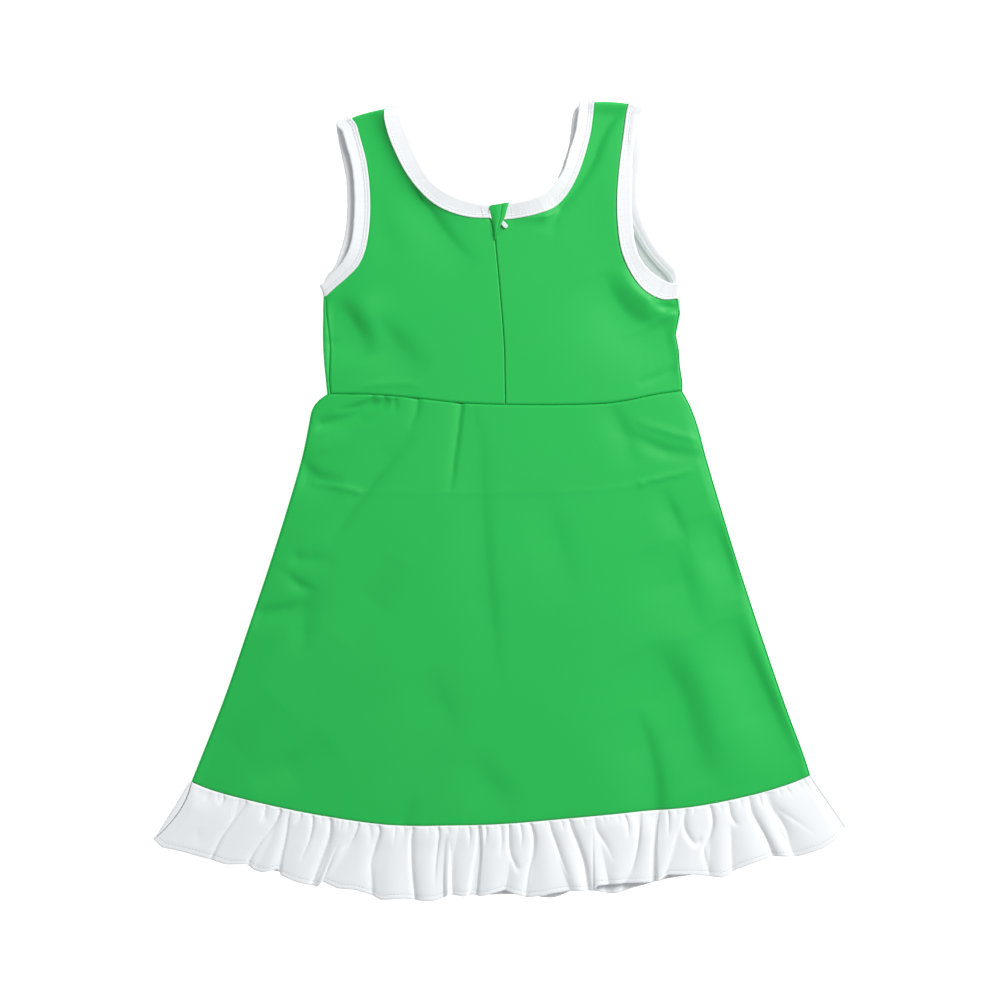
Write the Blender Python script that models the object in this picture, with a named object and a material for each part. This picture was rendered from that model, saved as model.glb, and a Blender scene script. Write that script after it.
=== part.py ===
"""Child's sleeveless athletic dress, laid flat with its back panel up.

Lengths are in millimetres until a mesh is made, which is in metres. +Z is up, the neck
points along +Y and the hem along -Y. The front panels lie underneath, flat on z = 0, and
their side edges roll up and over to meet the back panels at the side seams. Each piece of
cloth is one surface given its thickness by Solidify: on a back piece that surface is the
upper face, on a front piece the face that rests on the table.
"""

import math
from collections import namedtuple

import bmesh
import bpy
import numpy as np

MM = 0.001

# Cloth, seams and the height of the folded stack
CLOTH = 1.2
BAND = 1.3
RUFFLE_CLOTH = 1.1
SEAM = 0.3
ROLL = 3.6
BAND_RAISE = 0.4
SIDE_INSET = 2.6
BODICE_PUFF = 1.5
SKIRT_PUFF = 2.3

# Zip, slider, pull tab and guard flap
TAPE_WIDTH = 20.0
TAPE_THICK = 1.0
SLIDER_WIDTH = 5.0
SLIDER_LENGTH = 8.4
SLIDER_SLOT = 0.4
POST_RADIUS = 0.7
TAB_HOLE = 1.0
TAB_EYE = 1.6
TAB_TIP = 1.9
TAB_LENGTH = 12.4
TAB_THICK = 0.9
TAB_ANGLE = -44.0
PIVOT = (-4.1, 214.6)
FLAP_THICK = 1.0

# Ways in which a binding turns from the back to the front of the dress, and how far its
# fold stands out in the middle of its width at each end
OVER_SHOULDER = (0.0, 1.0)
UNDERARM_LEFT = (-0.955, -0.295)
UNDERARM_RIGHT = (0.995, -0.1)
NECK_BULGE_LEFT = 3.9
NECK_BULGE_RIGHT = 2.2
ARMHOLE_BULGE = 2.3

# Rows of the bodice panels: from the waist to the underarm, from there until the panel
# reaches the neck, and beside the neck up to the shoulder
SIDE_ROWS = 6
CHEST_ROWS = 6
STRAP_ROWS = 12
FRONT_CHEST_ROWS = 3
FRONT_STRAP_ROWS = 11
BACK_COLUMNS = 8
FRONT_COLUMNS = 5
ARM_TIE_BACK = 0.54
ARM_TIE_FRONT = 0.72

# Rows of the skirt panels as shares of the way down. Rows of the ruffles, each with its
# share of the way down and how many cells of a wave go into one of its own
SKIRT_SHARES = (0.0, 0.02, 0.045, 0.075, 0.11, 0.15, 0.2, 0.26, 0.32, 0.38, 0.45, 0.52,
                0.59, 0.66, 0.73, 0.8, 0.87, 0.94, 1.0)
FRONT_SKIRT_SHARES = (0.0, 0.02, 0.045, 0.075, 0.11, 0.15, 0.2, 0.32, 0.45, 0.59, 0.73,
                      0.87, 0.94, 1.0)
RUFFLE_ROWS = ((0.0, 1), (0.1, 1), (0.24, 1), (0.44, 2), (0.72, 2), (1.0, 2))
FRONT_RUFFLE_SHARES = (0.0, 0.44, 0.72, 1.0)

# Colours as the photograph shows them, in linear light
GREEN = (0.042, 0.55, 0.115, 1.0)
WHITE = (0.82, 0.85, 0.88, 1.0)
TAPE_GREEN = (0.03, 0.36, 0.08, 1.0)
METAL = (0.78, 0.79, 0.80, 1.0)

# Side outlines of the bodice from the waist up: height, outer edge, and how far inside
# that edge the side seam lies on the upper face
SideRow = namedtuple("SideRow", "y edge inset")
LEFT_SIDE = (
    SideRow(79.5, -129.4, 2.6),
    SideRow(90.0, -130.4, 2.6),
    SideRow(99.0, -131.4, 3.8),
    SideRow(113.0, -132.4, 5.3),
    SideRow(126.0, -132.7, 4.6),
    SideRow(139.0, -132.4, 2.6),
    SideRow(151.0, -132.5, 2.6),
)
RIGHT_SIDE = (
    SideRow(81.8, 137.4, 2.6),
    SideRow(89.0, 137.4, 2.6),
    SideRow(100.0, 135.6, 2.8),
    SideRow(112.0, 134.8, 2.8),
    SideRow(124.0, 132.5, 2.8),
    SideRow(140.6, 136.0, 2.8),
    SideRow(150.0, 135.5, 3.0),
)

# Side outlines of the skirt, from the waist down to the ruffle
SKIRT_LEFT = (
    (-129.4, 79.2),
    (-136.1, 74.5),
    (-141.0, 67.0),
    (-144.0, 52.0),
    (-148.5, 31.0),
    (-157.4, 0.0),
    (-171.5, -45.0),
    (-189.2, -97.5),
    (-207.4, -150.0),
    (-231.4, -210.0),
)
SKIRT_RIGHT = (
    (137.4, 81.5),
    (143.6, 70.0),
    (149.6, 53.0),
    (155.4, 31.0),
    (164.6, 0.0),
    (178.3, -45.0),
    (195.4, -97.5),
    (213.4, -150.0),
    (227.9, -189.0),
    (233.4, -205.8),
)

# Waist seam and hem seam as heights over x
WAIST = (
    (-134.0, 79.5),
    (-95.0, 79.0),
    (-62.6, 76.2),
    (-30.6, 72.8),
    (4.0, 71.4),
    (46.0, 71.2),
    (77.0, 72.2),
    (97.0, 74.8),
    (117.0, 79.0),
    (140.0, 82.2),
)
HEM = (
    (-236.0, -208.5),
    (-216.0, -217.6),
    (-171.0, -229.0),
    (-124.0, -238.0),
    (-80.0, -243.6),
    (-36.0, -243.8),
    (4.0, -242.6),
    (58.0, -238.0),
    (105.0, -233.6),
    (148.0, -229.4),
    (190.0, -221.0),
    (220.0, -212.0),
    (236.0, -204.6),
)
WAIST_Y = WAIST[4][1]

# Centre-back line of the zip, from the waist up
ZIP_LINE = (
    (4.4, 71.0),
    (3.7, 113.0),
    (2.2, 135.0),
    (-0.2, 163.0),
    (-2.8, 190.0),
    (-4.1, 212.0),
)

# Bindings, a row for each section: their free edge, and the edge sewn to the green cloth
BandRow = namedtuple("BandRow", "free_x free_y cloth_x cloth_y")
ARMHOLE_LEFT_BACK = (
    BandRow(-122.6, 282.6, -110.4, 287.6),
    BandRow(-118.4, 276.4, -107.2, 281.0),
    BandRow(-115.9, 269.3, -104.6, 272.0),
    BandRow(-111.0, 251.3, -99.8, 253.5),
    BandRow(-108.9, 232.5, -97.4, 234.0),
    BandRow(-109.1, 211.5, -97.1, 212.3),
    BandRow(-111.0, 194.3, -99.8, 190.5),
    BandRow(-115.9, 181.5, -105.4, 176.3),
    BandRow(-123.0, 172.5, -114.4, 166.6),
    BandRow(-129.0, 166.8, -122.6, 159.6),
    BandRow(-134.9, 161.3, -132.0, 152.2),
)
ARMHOLE_LEFT_FRONT = (
    BandRow(-134.9, 161.3, -132.0, 152.2),
    BandRow(-129.6, 168.4, -122.6, 160.6),
    BandRow(-124.1, 175.5, -115.5, 169.0),
    BandRow(-118.9, 189.0, -108.4, 183.8),
    BandRow(-115.5, 204.0, -103.9, 201.8),
    BandRow(-114.4, 222.8, -102.4, 222.8),
    BandRow(-115.1, 240.0, -103.1, 241.5),
    BandRow(-118.1, 255.8, -106.5, 258.0),
    BandRow(-121.3, 271.5, -109.9, 274.0),
    BandRow(-122.6, 282.6, -110.4, 287.6),
)
ARMHOLE_RIGHT_BACK = (
    BandRow(107.4, 294.4, 96.4, 298.3),
    BandRow(102.4, 287.6, 94.9, 289.8),
    BandRow(101.6, 280.4, 93.8, 281.3),
    BandRow(100.6, 269.3, 92.1, 268.5),
    BandRow(99.4, 249.0, 89.6, 249.0),
    BandRow(98.9, 228.8, 88.0, 228.0),
    BandRow(99.6, 208.5, 88.4, 207.8),
    BandRow(102.4, 189.0, 91.2, 187.6),
    BandRow(108.6, 176.6, 98.2, 170.6),
    BandRow(117.4, 168.4, 108.4, 157.4),
    BandRow(127.4, 162.8, 121.2, 150.6),
    BandRow(136.4, 163.0, 134.8, 150.6),
)
ARMHOLE_RIGHT_FRONT = (
    BandRow(136.4, 163.0, 134.8, 150.6),
    BandRow(132.6, 171.9, 126.6, 164.6),
    BandRow(125.6, 180.4, 118.6, 174.2),
    BandRow(117.4, 189.9, 109.4, 184.8),
    BandRow(110.6, 202.2, 100.8, 199.4),
    BandRow(105.4, 217.5, 94.3, 216.6),
    BandRow(104.1, 236.3, 93.0, 236.3),
    BandRow(106.1, 256.5, 94.9, 257.3),
    BandRow(107.1, 277.5, 96.0, 278.3),
    BandRow(107.4, 294.4, 96.4, 298.3),
)
NECK_LEFT_BACK = (
    BandRow(-7.6, 220.7, -7.4, 211.2),
    BandRow(-20.4, 223.2, -22.9, 211.9),
    BandRow(-32.0, 226.7, -37.9, 216.0),
    BandRow(-41.4, 231.3, -51.4, 223.5),
    BandRow(-50.5, 238.2, -62.6, 234.8),
    BandRow(-57.8, 248.8, -70.9, 246.4),
    BandRow(-64.3, 262.4, -77.6, 259.5),
    BandRow(-69.6, 275.6, -82.9, 272.3),
    BandRow(-73.0, 284.6, -86.1, 284.6),
    BandRow(-74.0, 293.6, -86.3, 294.3),
)
NECK_FRONT = (
    BandRow(-74.0, 293.6, -86.3, 294.3),
    BandRow(-75.4, 282.0, -87.0, 281.2),
    BandRow(-72.8, 268.9, -84.4, 266.2),
    BandRow(-67.1, 253.5, -78.4, 249.0),
    BandRow(-59.6, 238.1, -70.1, 232.5),
    BandRow(-49.9, 223.1, -58.9, 216.0),
    BandRow(-37.1, 210.4, -43.9, 201.0),
    BandRow(-21.0, 201.4, -24.4, 190.5),
    BandRow(-3.4, 198.0, -3.4, 186.8),
    BandRow(14.3, 201.0, 17.6, 190.1),
    BandRow(30.4, 210.0, 36.4, 200.3),
    BandRow(41.6, 222.4, 50.6, 215.3),
    BandRow(49.1, 237.4, 59.6, 232.5),
    BandRow(52.3, 253.5, 63.4, 251.3),
    BandRow(53.2, 267.0, 65.3, 265.5),
    BandRow(53.8, 281.3, 66.0, 281.3),
    BandRow(55.4, 291.0, 67.6, 291.6),
    BandRow(59.2, 298.2, 70.9, 299.2),
)
NECK_RIGHT_BACK = (
    BandRow(59.2, 298.2, 70.9, 299.2),
    BandRow(58.5, 286.5, 69.9, 286.5),
    BandRow(56.6, 274.5, 68.3, 275.3),
    BandRow(52.5, 262.1, 64.1, 258.8),
    BandRow(48.0, 247.5, 58.1, 242.3),
    BandRow(41.3, 237.4, 49.9, 228.0),
    BandRow(34.5, 229.9, 40.5, 219.0),
    BandRow(23.6, 225.4, 28.1, 214.1),
    BandRow(13.1, 223.1, 13.9, 211.1),
    BandRow(-0.6, 220.9, -0.8, 209.6),
)

# Soft folds, a row for each: start, end, sideways bend at the middle, half width, height.
# A trough has a negative height
Fold = namedtuple("Fold", "x0 y0 x1 y1 bend width height")
BODICE_FOLDS = (
    Fold(-119.0, 136.0, -97.0, 109.0, 2.5, 4.5, -1.0),
    Fold(-91.0, 138.0, -45.0, 103.0, 0.0, 8.0, -0.7),
    Fold(-108.0, 82.0, -57.0, 86.0, 2.0, 4.0, 0.5),
    Fold(-53.0, 216.0, -36.0, 176.0, 0.0, 8.0, -0.7),
    Fold(78.0, 284.0, 57.0, 224.0, 3.0, 6.0, -0.6),
    Fold(101.0, 143.0, 116.0, 133.0, 0.0, 4.0, -0.7),
    Fold(136.0, 134.0, 85.0, 115.0, 0.0, 5.0, -0.8),
    Fold(134.0, 110.0, 91.0, 86.0, -2.0, 5.0, -0.8),
    Fold(30.0, 108.0, 84.0, 96.0, 0.0, 10.0, -0.5),
)
SKIRT_FOLDS = (
    Fold(-95.5, 88.0, -97.0, 62.0, 0.0, 2.4, -0.8),
    Fold(-81.0, 84.0, -81.0, 66.0, 0.0, 2.2, -0.7),
    Fold(-63.5, 92.0, -65.0, 50.0, 0.0, 2.6, -0.9),
    Fold(-27.0, 100.0, -37.0, 6.0, 0.0, 3.6, -1.5),
    Fold(-128.0, 60.0, -108.0, 65.0, 0.0, 7.0, -1.1),
    Fold(-60.0, 50.0, -116.0, -6.0, 2.0, 9.0, -0.9),
    Fold(-148.0, 36.0, -105.0, 14.0, 4.0, 5.5, -1.2),
    Fold(-141.0, 10.0, -108.0, 4.0, 0.0, 4.0, 0.5),
    Fold(106.0, 54.0, 128.0, 43.0, 0.0, 6.0, -1.0),
    Fold(120.0, 58.0, 150.0, 40.0, 0.0, 5.0, 0.6),
    Fold(103.0, 11.0, 138.0, 22.0, 2.0, 4.5, -0.8),
    Fold(124.0, 4.0, 134.0, -28.0, 0.0, 7.0, -1.0),
    Fold(158.0, -15.0, 170.0, -40.0, 0.0, 7.0, -0.9),
    Fold(170.0, -85.0, 222.0, -194.0, 0.0, 7.0, -1.1),
    Fold(119.0, -114.0, 156.0, -206.0, 4.0, 9.0, -1.1),
    Fold(98.0, -164.0, 120.0, -260.0, -4.0, 7.0, -1.5),
    Fold(-176.0, -80.0, -146.0, -64.0, 0.0, 14.0, -0.6),
    Fold(-220.0, -160.0, -200.0, -194.0, 0.0, 11.0, -0.7),
    Fold(-90.0, 10.0, 92.0, 14.0, 0.0, 4.0, -0.35),
)

# Ruffle ribs, a row for each valley between two waves, from the left side to the right:
# where it leaves the hem seam, where it is halfway, where it ends, then for the wave to
# its right the lowest point of its edge, its height, and the small gathers inside it
Rib = namedtuple("Rib", "seam_x mid_x edge_x edge_y wave_y rise gathers")
RIBS = (
    Rib(-230.4, -238.5, -256.8, -256.3, -263.3, 2.0, 5),
    Rib(-190.9, -196.9, -216.4, -269.3, -273.0, 3.6, 2),
    Rib(-164.6, -171.4, -184.1, -276.8, -279.0, 2.6, 0),
    Rib(-156.4, -159.4, -164.6, -278.3, -286.5, 4.8, 3),
    Rib(-126.8, -128.6, -138.4, -286.5, -287.3, 1.8, 3),
    Rib(-105.0, -114.6, -131.1, -286.5, -291.8, 4.8, 1),
    Rib(-90.4, -93.4, -95.6, -294.8, -299.3, 4.0, 4),
    Rib(-64.9, -66.8, -64.9, -297.8, -300.8, 5.0, 3),
    Rib(-39.4, -41.8, -42.0, -296.6, -296.3, 1.6, 0),
    Rib(-28.9, -35.0, -34.9, -295.5, -297.4, 4.2, 1),
    Rib(-16.1, -16.1, -18.4, -294.8, -294.8, 5.0, 3),
    Rib(6.8, 7.9, 4.1, -292.1, -295.5, 3.2, 1),
    Rib(23.3, 25.9, 19.9, -297.4, -295.9, 5.0, 1),
    Rib(36.7, 43.9, 52.9, -292.9, -292.9, 3.6, 1),
    Rib(51.9, 58.9, 67.1, -292.9, -289.1, 3.6, 1),
    Rib(70.9, 76.9, 82.1, -288.0, -285.8, 3.4, 4),
    Rib(105.4, 103.9, 94.1, -285.0, -286.5, 4.4, 1),
    Rib(119.6, 115.9, 115.1, -286.5, -283.5, 3.0, 2),
    Rib(139.1, 133.1, 123.4, -282.4, -280.5, 4.4, 1),
    Rib(157.6, 157.9, 156.4, -281.3, -282.8, 3.8, 1),
    Rib(172.1, 173.6, 175.1, -278.3, -273.0, 4.0, 1),
    Rib(186.7, 193.1, 205.9, -266.8, -267.0, 3.0, 1),
    Rib(198.4, 208.1, 221.6, -266.6, -261.0, 5.4, 3),
    Rib(230.8, 244.3, 257.4, -244.5, -244.5, 0.0, 0),
)
VALLEY_TOP = 3.3
FRONT_WAVE_SHARE = 0.35
GATHER_HEIGHT = 0.5

# Free edge of the front ruffle, and both side outlines of the ruffles at the seam, halfway
# and at the free edge
FRONT_EDGE = (
    (-260.0, -254.0),
    (-216.0, -267.0),
    (-150.0, -282.5),
    (-90.0, -293.5),
    (-30.0, -296.2),
    (15.0, -296.0),
    (40.0, -298.3),
    (60.0, -291.8),
    (85.0, -294.6),
    (104.0, -289.6),
    (124.0, -284.8),
    (160.0, -279.0),
    (205.0, -264.5),
    (235.0, -256.0),
    (260.0, -244.5),
)
RUFFLE_LEFT = ((-233.0, -211.0), (-246.2, -233.0), (-259.8, -254.6))
RUFFLE_RIGHT = ((233.4, -206.0), (246.9, -225.6), (260.0, -244.6))

# Guard flap, a row for each section: left edge, right edge, and the height of each over
# the cloth below it
FlapRow = namedtuple("FlapRow", "x0 y0 x1 y1 left_lift right_lift")
FLAP = (
    FlapRow(-9.0, 220.2, 7.0, 222.6, 1.8, 3.1),
    FlapRow(-8.4, 216.6, 5.5, 218.2, 2.2, 3.2),
    FlapRow(-7.4, 211.6, 3.6, 212.6, 2.8, 3.2),
    FlapRow(-6.3, 206.1, 1.7, 206.9, 3.1, 3.1),
    FlapRow(-5.6, 200.4, -0.6, 200.8, 3.0, 3.0),
    FlapRow(-4.5, 195.2, -2.6, 195.2, 1.7, 1.7),
)


class Curve:
    """A smooth line through a few rows of numbers, read by its share of length."""

    def __init__(self, rows, steps=12):
        rows = [np.array(row, dtype=float) for row in rows]
        points = [rows[0]]
        self.row_index = [0]
        for i in range(len(rows) - 1):
            before = rows[max(i - 1, 0)]
            after = rows[min(i + 2, len(rows) - 1)]
            for step in range(1, steps + 1):
                points.append(self._between(before, rows[i], rows[i + 1], after, step / steps))
            self.row_index.append(len(points) - 1)
        self.points = np.array(points)
        lengths = np.linalg.norm(np.diff(self.points, axis=0), axis=1)
        self.shares = np.concatenate(([0.0], np.cumsum(lengths)))
        self.shares /= self.shares[-1]

    @staticmethod
    def _between(p0, p1, p2, p3, t):
        slope1 = (p2 - p0) / 2
        slope2 = (p3 - p1) / 2
        return (
            (2 * t**3 - 3 * t**2 + 1) * p1
            + (t**3 - 2 * t**2 + t) * slope1
            + (3 * t**2 - 2 * t**3) * p2
            + (t**3 - t**2) * slope2
        )

    def at(self, share):
        """The point at a share of the whole length, from 0 to 1."""
        columns = [np.interp(share, self.shares, column) for column in self.points.T]
        return np.array(columns)

    def share_of_row(self, row):
        """The share of length at which the line passes one of its rows."""
        return self.shares[self.row_index[row]]


class HeightLine:
    """A seam or edge that runs across the dress, read as a height y over x."""

    def __init__(self, rows, knots=None):
        points = Curve(rows).points
        self.x = points[:, 0]
        self.y = points[:, 1]
        if knots is not None:
            self.y = np.interp(knots, self.x, self.y)
            self.x = np.array(knots)

    def __call__(self, x):
        return float(np.interp(x, self.x, self.y))


def smooth_step(low, high, value):
    """0 below low, 1 above high, and a soft ramp between them."""
    t = min(max((value - low) / (high - low), 0.0), 1.0)
    return t * t * (3 - 2 * t)


def outline_tables():
    """Left and right outlines of bodice and skirt as sorted arrays of y and x."""
    tables = []
    for side, skirt in ((LEFT_SIDE, SKIRT_LEFT), (RIGHT_SIDE, SKIRT_RIGHT)):
        rows = [(row.y, row.edge) for row in side] + [(y, x) for x, y in skirt[1:]]
        rows.sort()
        tables.append(np.array(rows).T)
    return tables


LEFT_OUTLINE, RIGHT_OUTLINE = outline_tables()


def puff_shape(x, y):
    """How far the upper layer stands off the lower one: 0 at the sides, 1 inside."""
    left = np.interp(y, *LEFT_OUTLINE)
    right = np.interp(y, *RIGHT_OUTLINE)
    across = abs((x - (left + right) / 2) / ((right - left) / 2))
    return (1 - min(across, 1.0) ** 4) * (1 - smooth_step(232.0, 286.0, y))


def fold_line(fold, samples=9):
    """Points along a fold, bent sideways at its middle."""
    start = np.array((fold.x0, fold.y0))
    run = np.array((fold.x1, fold.y1)) - start
    side = np.array((-run[1], run[0])) / np.linalg.norm(run)
    shares = np.linspace(0, 1, samples)
    return [start + run * t + side * fold.bend * 4 * t * (1 - t) for t in shares]


FOLD_LINES = {fold: fold_line(fold) for fold in BODICE_FOLDS + SKIRT_FOLDS}


def fold_height(folds, x, y):
    """Height that all the folds of a piece add at a point."""
    total = 0.0
    point = np.array((x, y))
    for fold in folds:
        line = FOLD_LINES[fold]
        nearest = None
        for i in range(len(line) - 1):
            run = line[i + 1] - line[i]
            t = min(max(np.dot(point - line[i], run) / np.dot(run, run), 0.0), 1.0)
            distance = np.linalg.norm(point - line[i] - run * t)
            if nearest is None or distance < nearest[0]:
                nearest = (distance, (i + t) / (len(line) - 1))
        across = math.exp(-((nearest[0] / fold.width) ** 2))
        along = math.sin(math.pi * min(max(nearest[1], 0.0), 1.0))
        total += fold.height * across * max(along, 0.0) ** 0.5
    return total


def bodice_top(x, y):
    """Upper face of the back bodice."""
    puff = BODICE_PUFF * puff_shape(x, y)
    return ROLL + puff + fold_height(BODICE_FOLDS, x, y) * min(1.0, puff / 0.6)


def skirt_top(x, y):
    """Upper face of the back skirt."""
    share = 1 - smooth_step(-10.0, 60.0, y)
    puff = (BODICE_PUFF + (SKIRT_PUFF - BODICE_PUFF) * share) * puff_shape(x, y)
    return ROLL + puff + fold_height(SKIRT_FOLDS, x, y) * min(1.0, puff / 0.8)


def moved_from(point, other, gap):
    """A point moved by a gap along the way that leads from another point to it."""
    way = np.array(point) - np.array(other)
    return np.array(point) + way * gap / np.linalg.norm(way)


def even_shares(start, end, count):
    """Evenly spaced shares from start to end, both included."""
    return [start + (end - start) * i / count for i in range(count + 1)]


def binding_sections(rows, shares, turns):
    """Sections of a binding at shares of its length, as rows of free and cloth edges.

    Where the binding turns to the other layer at an end, that end is drawn back by the
    turn's radius, so that the turn itself reaches the measured edge.
    """
    radius = (ROLL + BAND_RAISE) / 2
    rows = [np.array(row, dtype=float) for row in rows]
    for index, way in zip((0, -1), turns):
        if way is not None:
            rows[index] = rows[index] - np.array(way * 2) * radius
    line = Curve(rows)
    return [line.at(share) for share in shares]


def armhole_sections(back, front, under_way):
    """Sections of an armhole binding down the back and up the front."""
    tie = ARM_TIE_BACK
    back_shares = even_shares(0.0, tie, STRAP_ROWS) + even_shares(tie, 1.0, CHEST_ROWS)[1:]
    tie = 1 - ARM_TIE_FRONT
    front_shares = even_shares(0.0, tie, FRONT_CHEST_ROWS)
    front_shares += even_shares(tie, 1.0, FRONT_STRAP_ROWS)[1:]
    return (
        binding_sections(back, back_shares, (OVER_SHOULDER, under_way)),
        binding_sections(front, front_shares, (under_way, OVER_SHOULDER)),
    )


def neck_sections():
    """Sections of the neck binding: up the left back, round the front, down the right."""
    front = Curve(NECK_FRONT)
    lowest = min(range(len(NECK_FRONT)), key=lambda i: NECK_FRONT[i].cloth_y)
    low = front.share_of_row(lowest)
    front_shares = even_shares(0.0, low, FRONT_STRAP_ROWS)
    front_shares += even_shares(low, 1.0, FRONT_STRAP_ROWS)[1:]
    back_shares = even_shares(0.0, 1.0, STRAP_ROWS)
    return (
        binding_sections(NECK_LEFT_BACK, back_shares, (None, OVER_SHOULDER)),
        binding_sections(NECK_FRONT, front_shares, (OVER_SHOULDER, OVER_SHOULDER)),
        binding_sections(NECK_RIGHT_BACK, back_shares, (OVER_SHOULDER, None)),
    )


ARM_LEFT = armhole_sections(ARMHOLE_LEFT_BACK, ARMHOLE_LEFT_FRONT, UNDERARM_LEFT)
ARM_RIGHT = armhole_sections(ARMHOLE_RIGHT_BACK, ARMHOLE_RIGHT_FRONT, UNDERARM_RIGHT)
NECK = neck_sections()


def cloth_edge(sections):
    """The green cloth's edge along a binding, a seam's gap away from it."""
    return [moved_from(section[2:], section[:2], SEAM) for section in sections]


def zip_x(y):
    """Place of the closed zip's centre line at a height."""
    heights = [row[1] for row in ZIP_LINE]
    return float(np.interp(y, heights, [row[0] for row in ZIP_LINE]))


def side_edge(table, y):
    """Outer edge and seam inset of a bodice side at a height."""
    heights = [row.y for row in table]
    edge = np.interp(y, heights, [row.edge for row in table])
    inset = np.interp(y, heights, [row.inset for row in table])
    return float(edge), float(inset)


def waist_knots(columns, inset):
    """Places along the waist where a layer's bodice and skirt both have a corner."""
    middle = zip_x(WAIST_Y)
    left = LEFT_SIDE[0].edge + inset
    right = RIGHT_SIDE[0].edge - inset
    return even_shares(left, middle, columns) + even_shares(middle, right, columns)[1:]


def with_ends(knots, reach=12.0):
    """Knots with one more beyond each end, so that a rolled edge has its seam too."""
    return [knots[0] - reach] + knots + [knots[-1] + reach]


WAIST_BACK = HeightLine(WAIST, with_ends(waist_knots(BACK_COLUMNS, SIDE_INSET)))
WAIST_FRONT = HeightLine(WAIST, with_ends(waist_knots(FRONT_COLUMNS, ROLL / 2)))


def add_grid(mesh, rows, closed=False):
    """Join rows of points into faces. A row may have half the cells of the one before."""
    made = [[mesh.verts.new([value * MM for value in point]) for point in row] for row in rows]
    if closed:
        made.append(made[0])
    for upper, lower in zip(made, made[1:]):
        if len(upper) == len(lower):
            for i in range(len(upper) - 1):
                mesh.faces.new((upper[i], lower[i], lower[i + 1], upper[i + 1]))
            continue
        for i in range(len(lower) - 1):
            start, middle, end = upper[2 * i], upper[2 * i + 1], upper[2 * i + 2]
            mesh.faces.new((start, lower[i], middle))
            mesh.faces.new((middle, lower[i], lower[i + 1]))
            mesh.faces.new((middle, lower[i + 1], end))


def material(name, colour, roughness, metallic=0.0):
    """A material of one node's own."""
    made = bpy.data.materials.new(name)
    made.use_nodes = True
    shader = made.node_tree.nodes["Principled BSDF"]
    shader.inputs["Base Color"].default_value = colour
    shader.inputs["Roughness"].default_value = roughness
    shader.inputs["Metallic"].default_value = metallic
    return made


def add_object(name, mesh, colour, roughness=0.8, metallic=0.0):
    """Turn a bmesh into a named object of the scene."""
    data = bpy.data.meshes.new(name)
    mesh.to_mesh(data)
    mesh.free()
    data.shade_smooth()
    data.set_sharp_from_angle(angle=math.radians(40))
    made = bpy.data.objects.new(name, data)
    bpy.context.scene.collection.objects.link(made)
    data.materials.append(material(name, colour, roughness, metallic))
    return made


def add_cloth(name, grids, thickness, colour, faces_up, closed=False):
    """One piece of cloth from grids whose edges meet, thickened behind its outer face."""
    mesh = bmesh.new()
    for rows in grids:
        add_grid(mesh, rows, closed)
    bmesh.ops.remove_doubles(mesh, verts=mesh.verts, dist=0.02 * MM)
    mesh.normal_update()
    mesh.faces.ensure_lookup_table()
    if (mesh.faces[0].normal.z > 0) != faces_up:
        bmesh.ops.reverse_faces(mesh, faces=mesh.faces)
    made = add_object(name, mesh, colour)
    wall = made.modifiers.new("Wall", "SOLIDIFY")
    wall.thickness = thickness * MM
    wall.offset = -1.0
    wall.use_even_offset = True
    wall.use_quality_normals = True
    wall.use_rim = True
    return made


def roll_row(edge, side, seam_x, seam_z, seam, reach=ROLL / 2):
    """A row of cells round a side edge, from the table up to its seam on the upper face.

    The side is -1 at the left and 1 at the right, seam gives each cell's y over x, and
    reach is how far inside the edge the turn begins.
    """
    upper_reach = min(reach, abs(edge - seam_x) - 2 * SEAM)
    row = []
    for angle in (-90, -45, 0, 45, 90):
        turn = math.radians(angle)
        x = edge - side * (reach if angle < 0 else upper_reach) * (1 - math.cos(turn))
        row.append((x, seam(x), seam_z / 2 * (1 + math.sin(turn))))
    x = seam_x + side * SEAM
    row.append((x, seam(x), seam_z))
    return row


def level(y):
    """A seam line that runs straight across at one height."""
    return lambda x: y


def beside(line, gap):
    """A seam line a gap above another one, or below it for a negative gap."""
    return lambda x: line(x) + gap


def sloped(point, way):
    """A seam line through a point, along a direction."""
    return lambda x: point[1] + (x - point[0]) * way[1] / way[0]


def side_heights(table, top_y):
    """Heights of a bodice side's rows, shared by the back and front panels."""
    return even_shares(table[0].y, top_y, SIDE_ROWS)


def fill_rows(ends, columns, waist, height):
    """Fill a bodice half between its row ends. Its lowest rows settle on the waist seam."""
    rows = []
    settle = 4
    low_left, low_right = ends[0]
    for number, (left, right) in enumerate(ends):
        weight = max(0.0, 1 - number / settle) ** 2
        row = []
        for column in range(columns + 1):
            share = column / columns
            x = left[0] + (right[0] - left[0]) * share
            y = left[1] + (right[1] - left[1]) * share
            low_y = low_left[1] + (low_right[1] - low_left[1]) * share
            y += weight * (waist(x) + SEAM / 2 - low_y)
            row.append((x, y, height(x, y)))
        rows.append(row)
    return rows


def shoulder_rows(base, upper):
    """A quarter turn that takes a strap's end over the shoulder, to its seam there."""
    radius = ROLL / 2
    side = 1 if upper else -1
    rows = []
    for angle in (60, 30):
        turn = math.radians(angle)
        z = radius + side * radius * math.sin(turn)
        rows.append([(x, y + radius * math.cos(turn), z) for x, y, _ in base])
    rows.append([(x, y, radius + side * SEAM / 2) for x, y, _ in rows[-1]])
    return rows


def zip_edge(side, top):
    """The back panel's edge along the zip, up to its corner beside the slider."""
    heights = even_shares(WAIST_Y, 155.0, SIDE_ROWS) + [166.0, 177.0, 188.0, 197.0, 203.5]
    return [(zip_x(y) + side * SEAM / 2, y) for y in heights] + [tuple(top)]


def strap_top(edge):
    """A strap's edge whose last corner is set where the shoulder's turn begins."""
    return edge[:-1] + [edge[-1] + np.array((0.0, BAND_RAISE / 2))]


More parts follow.
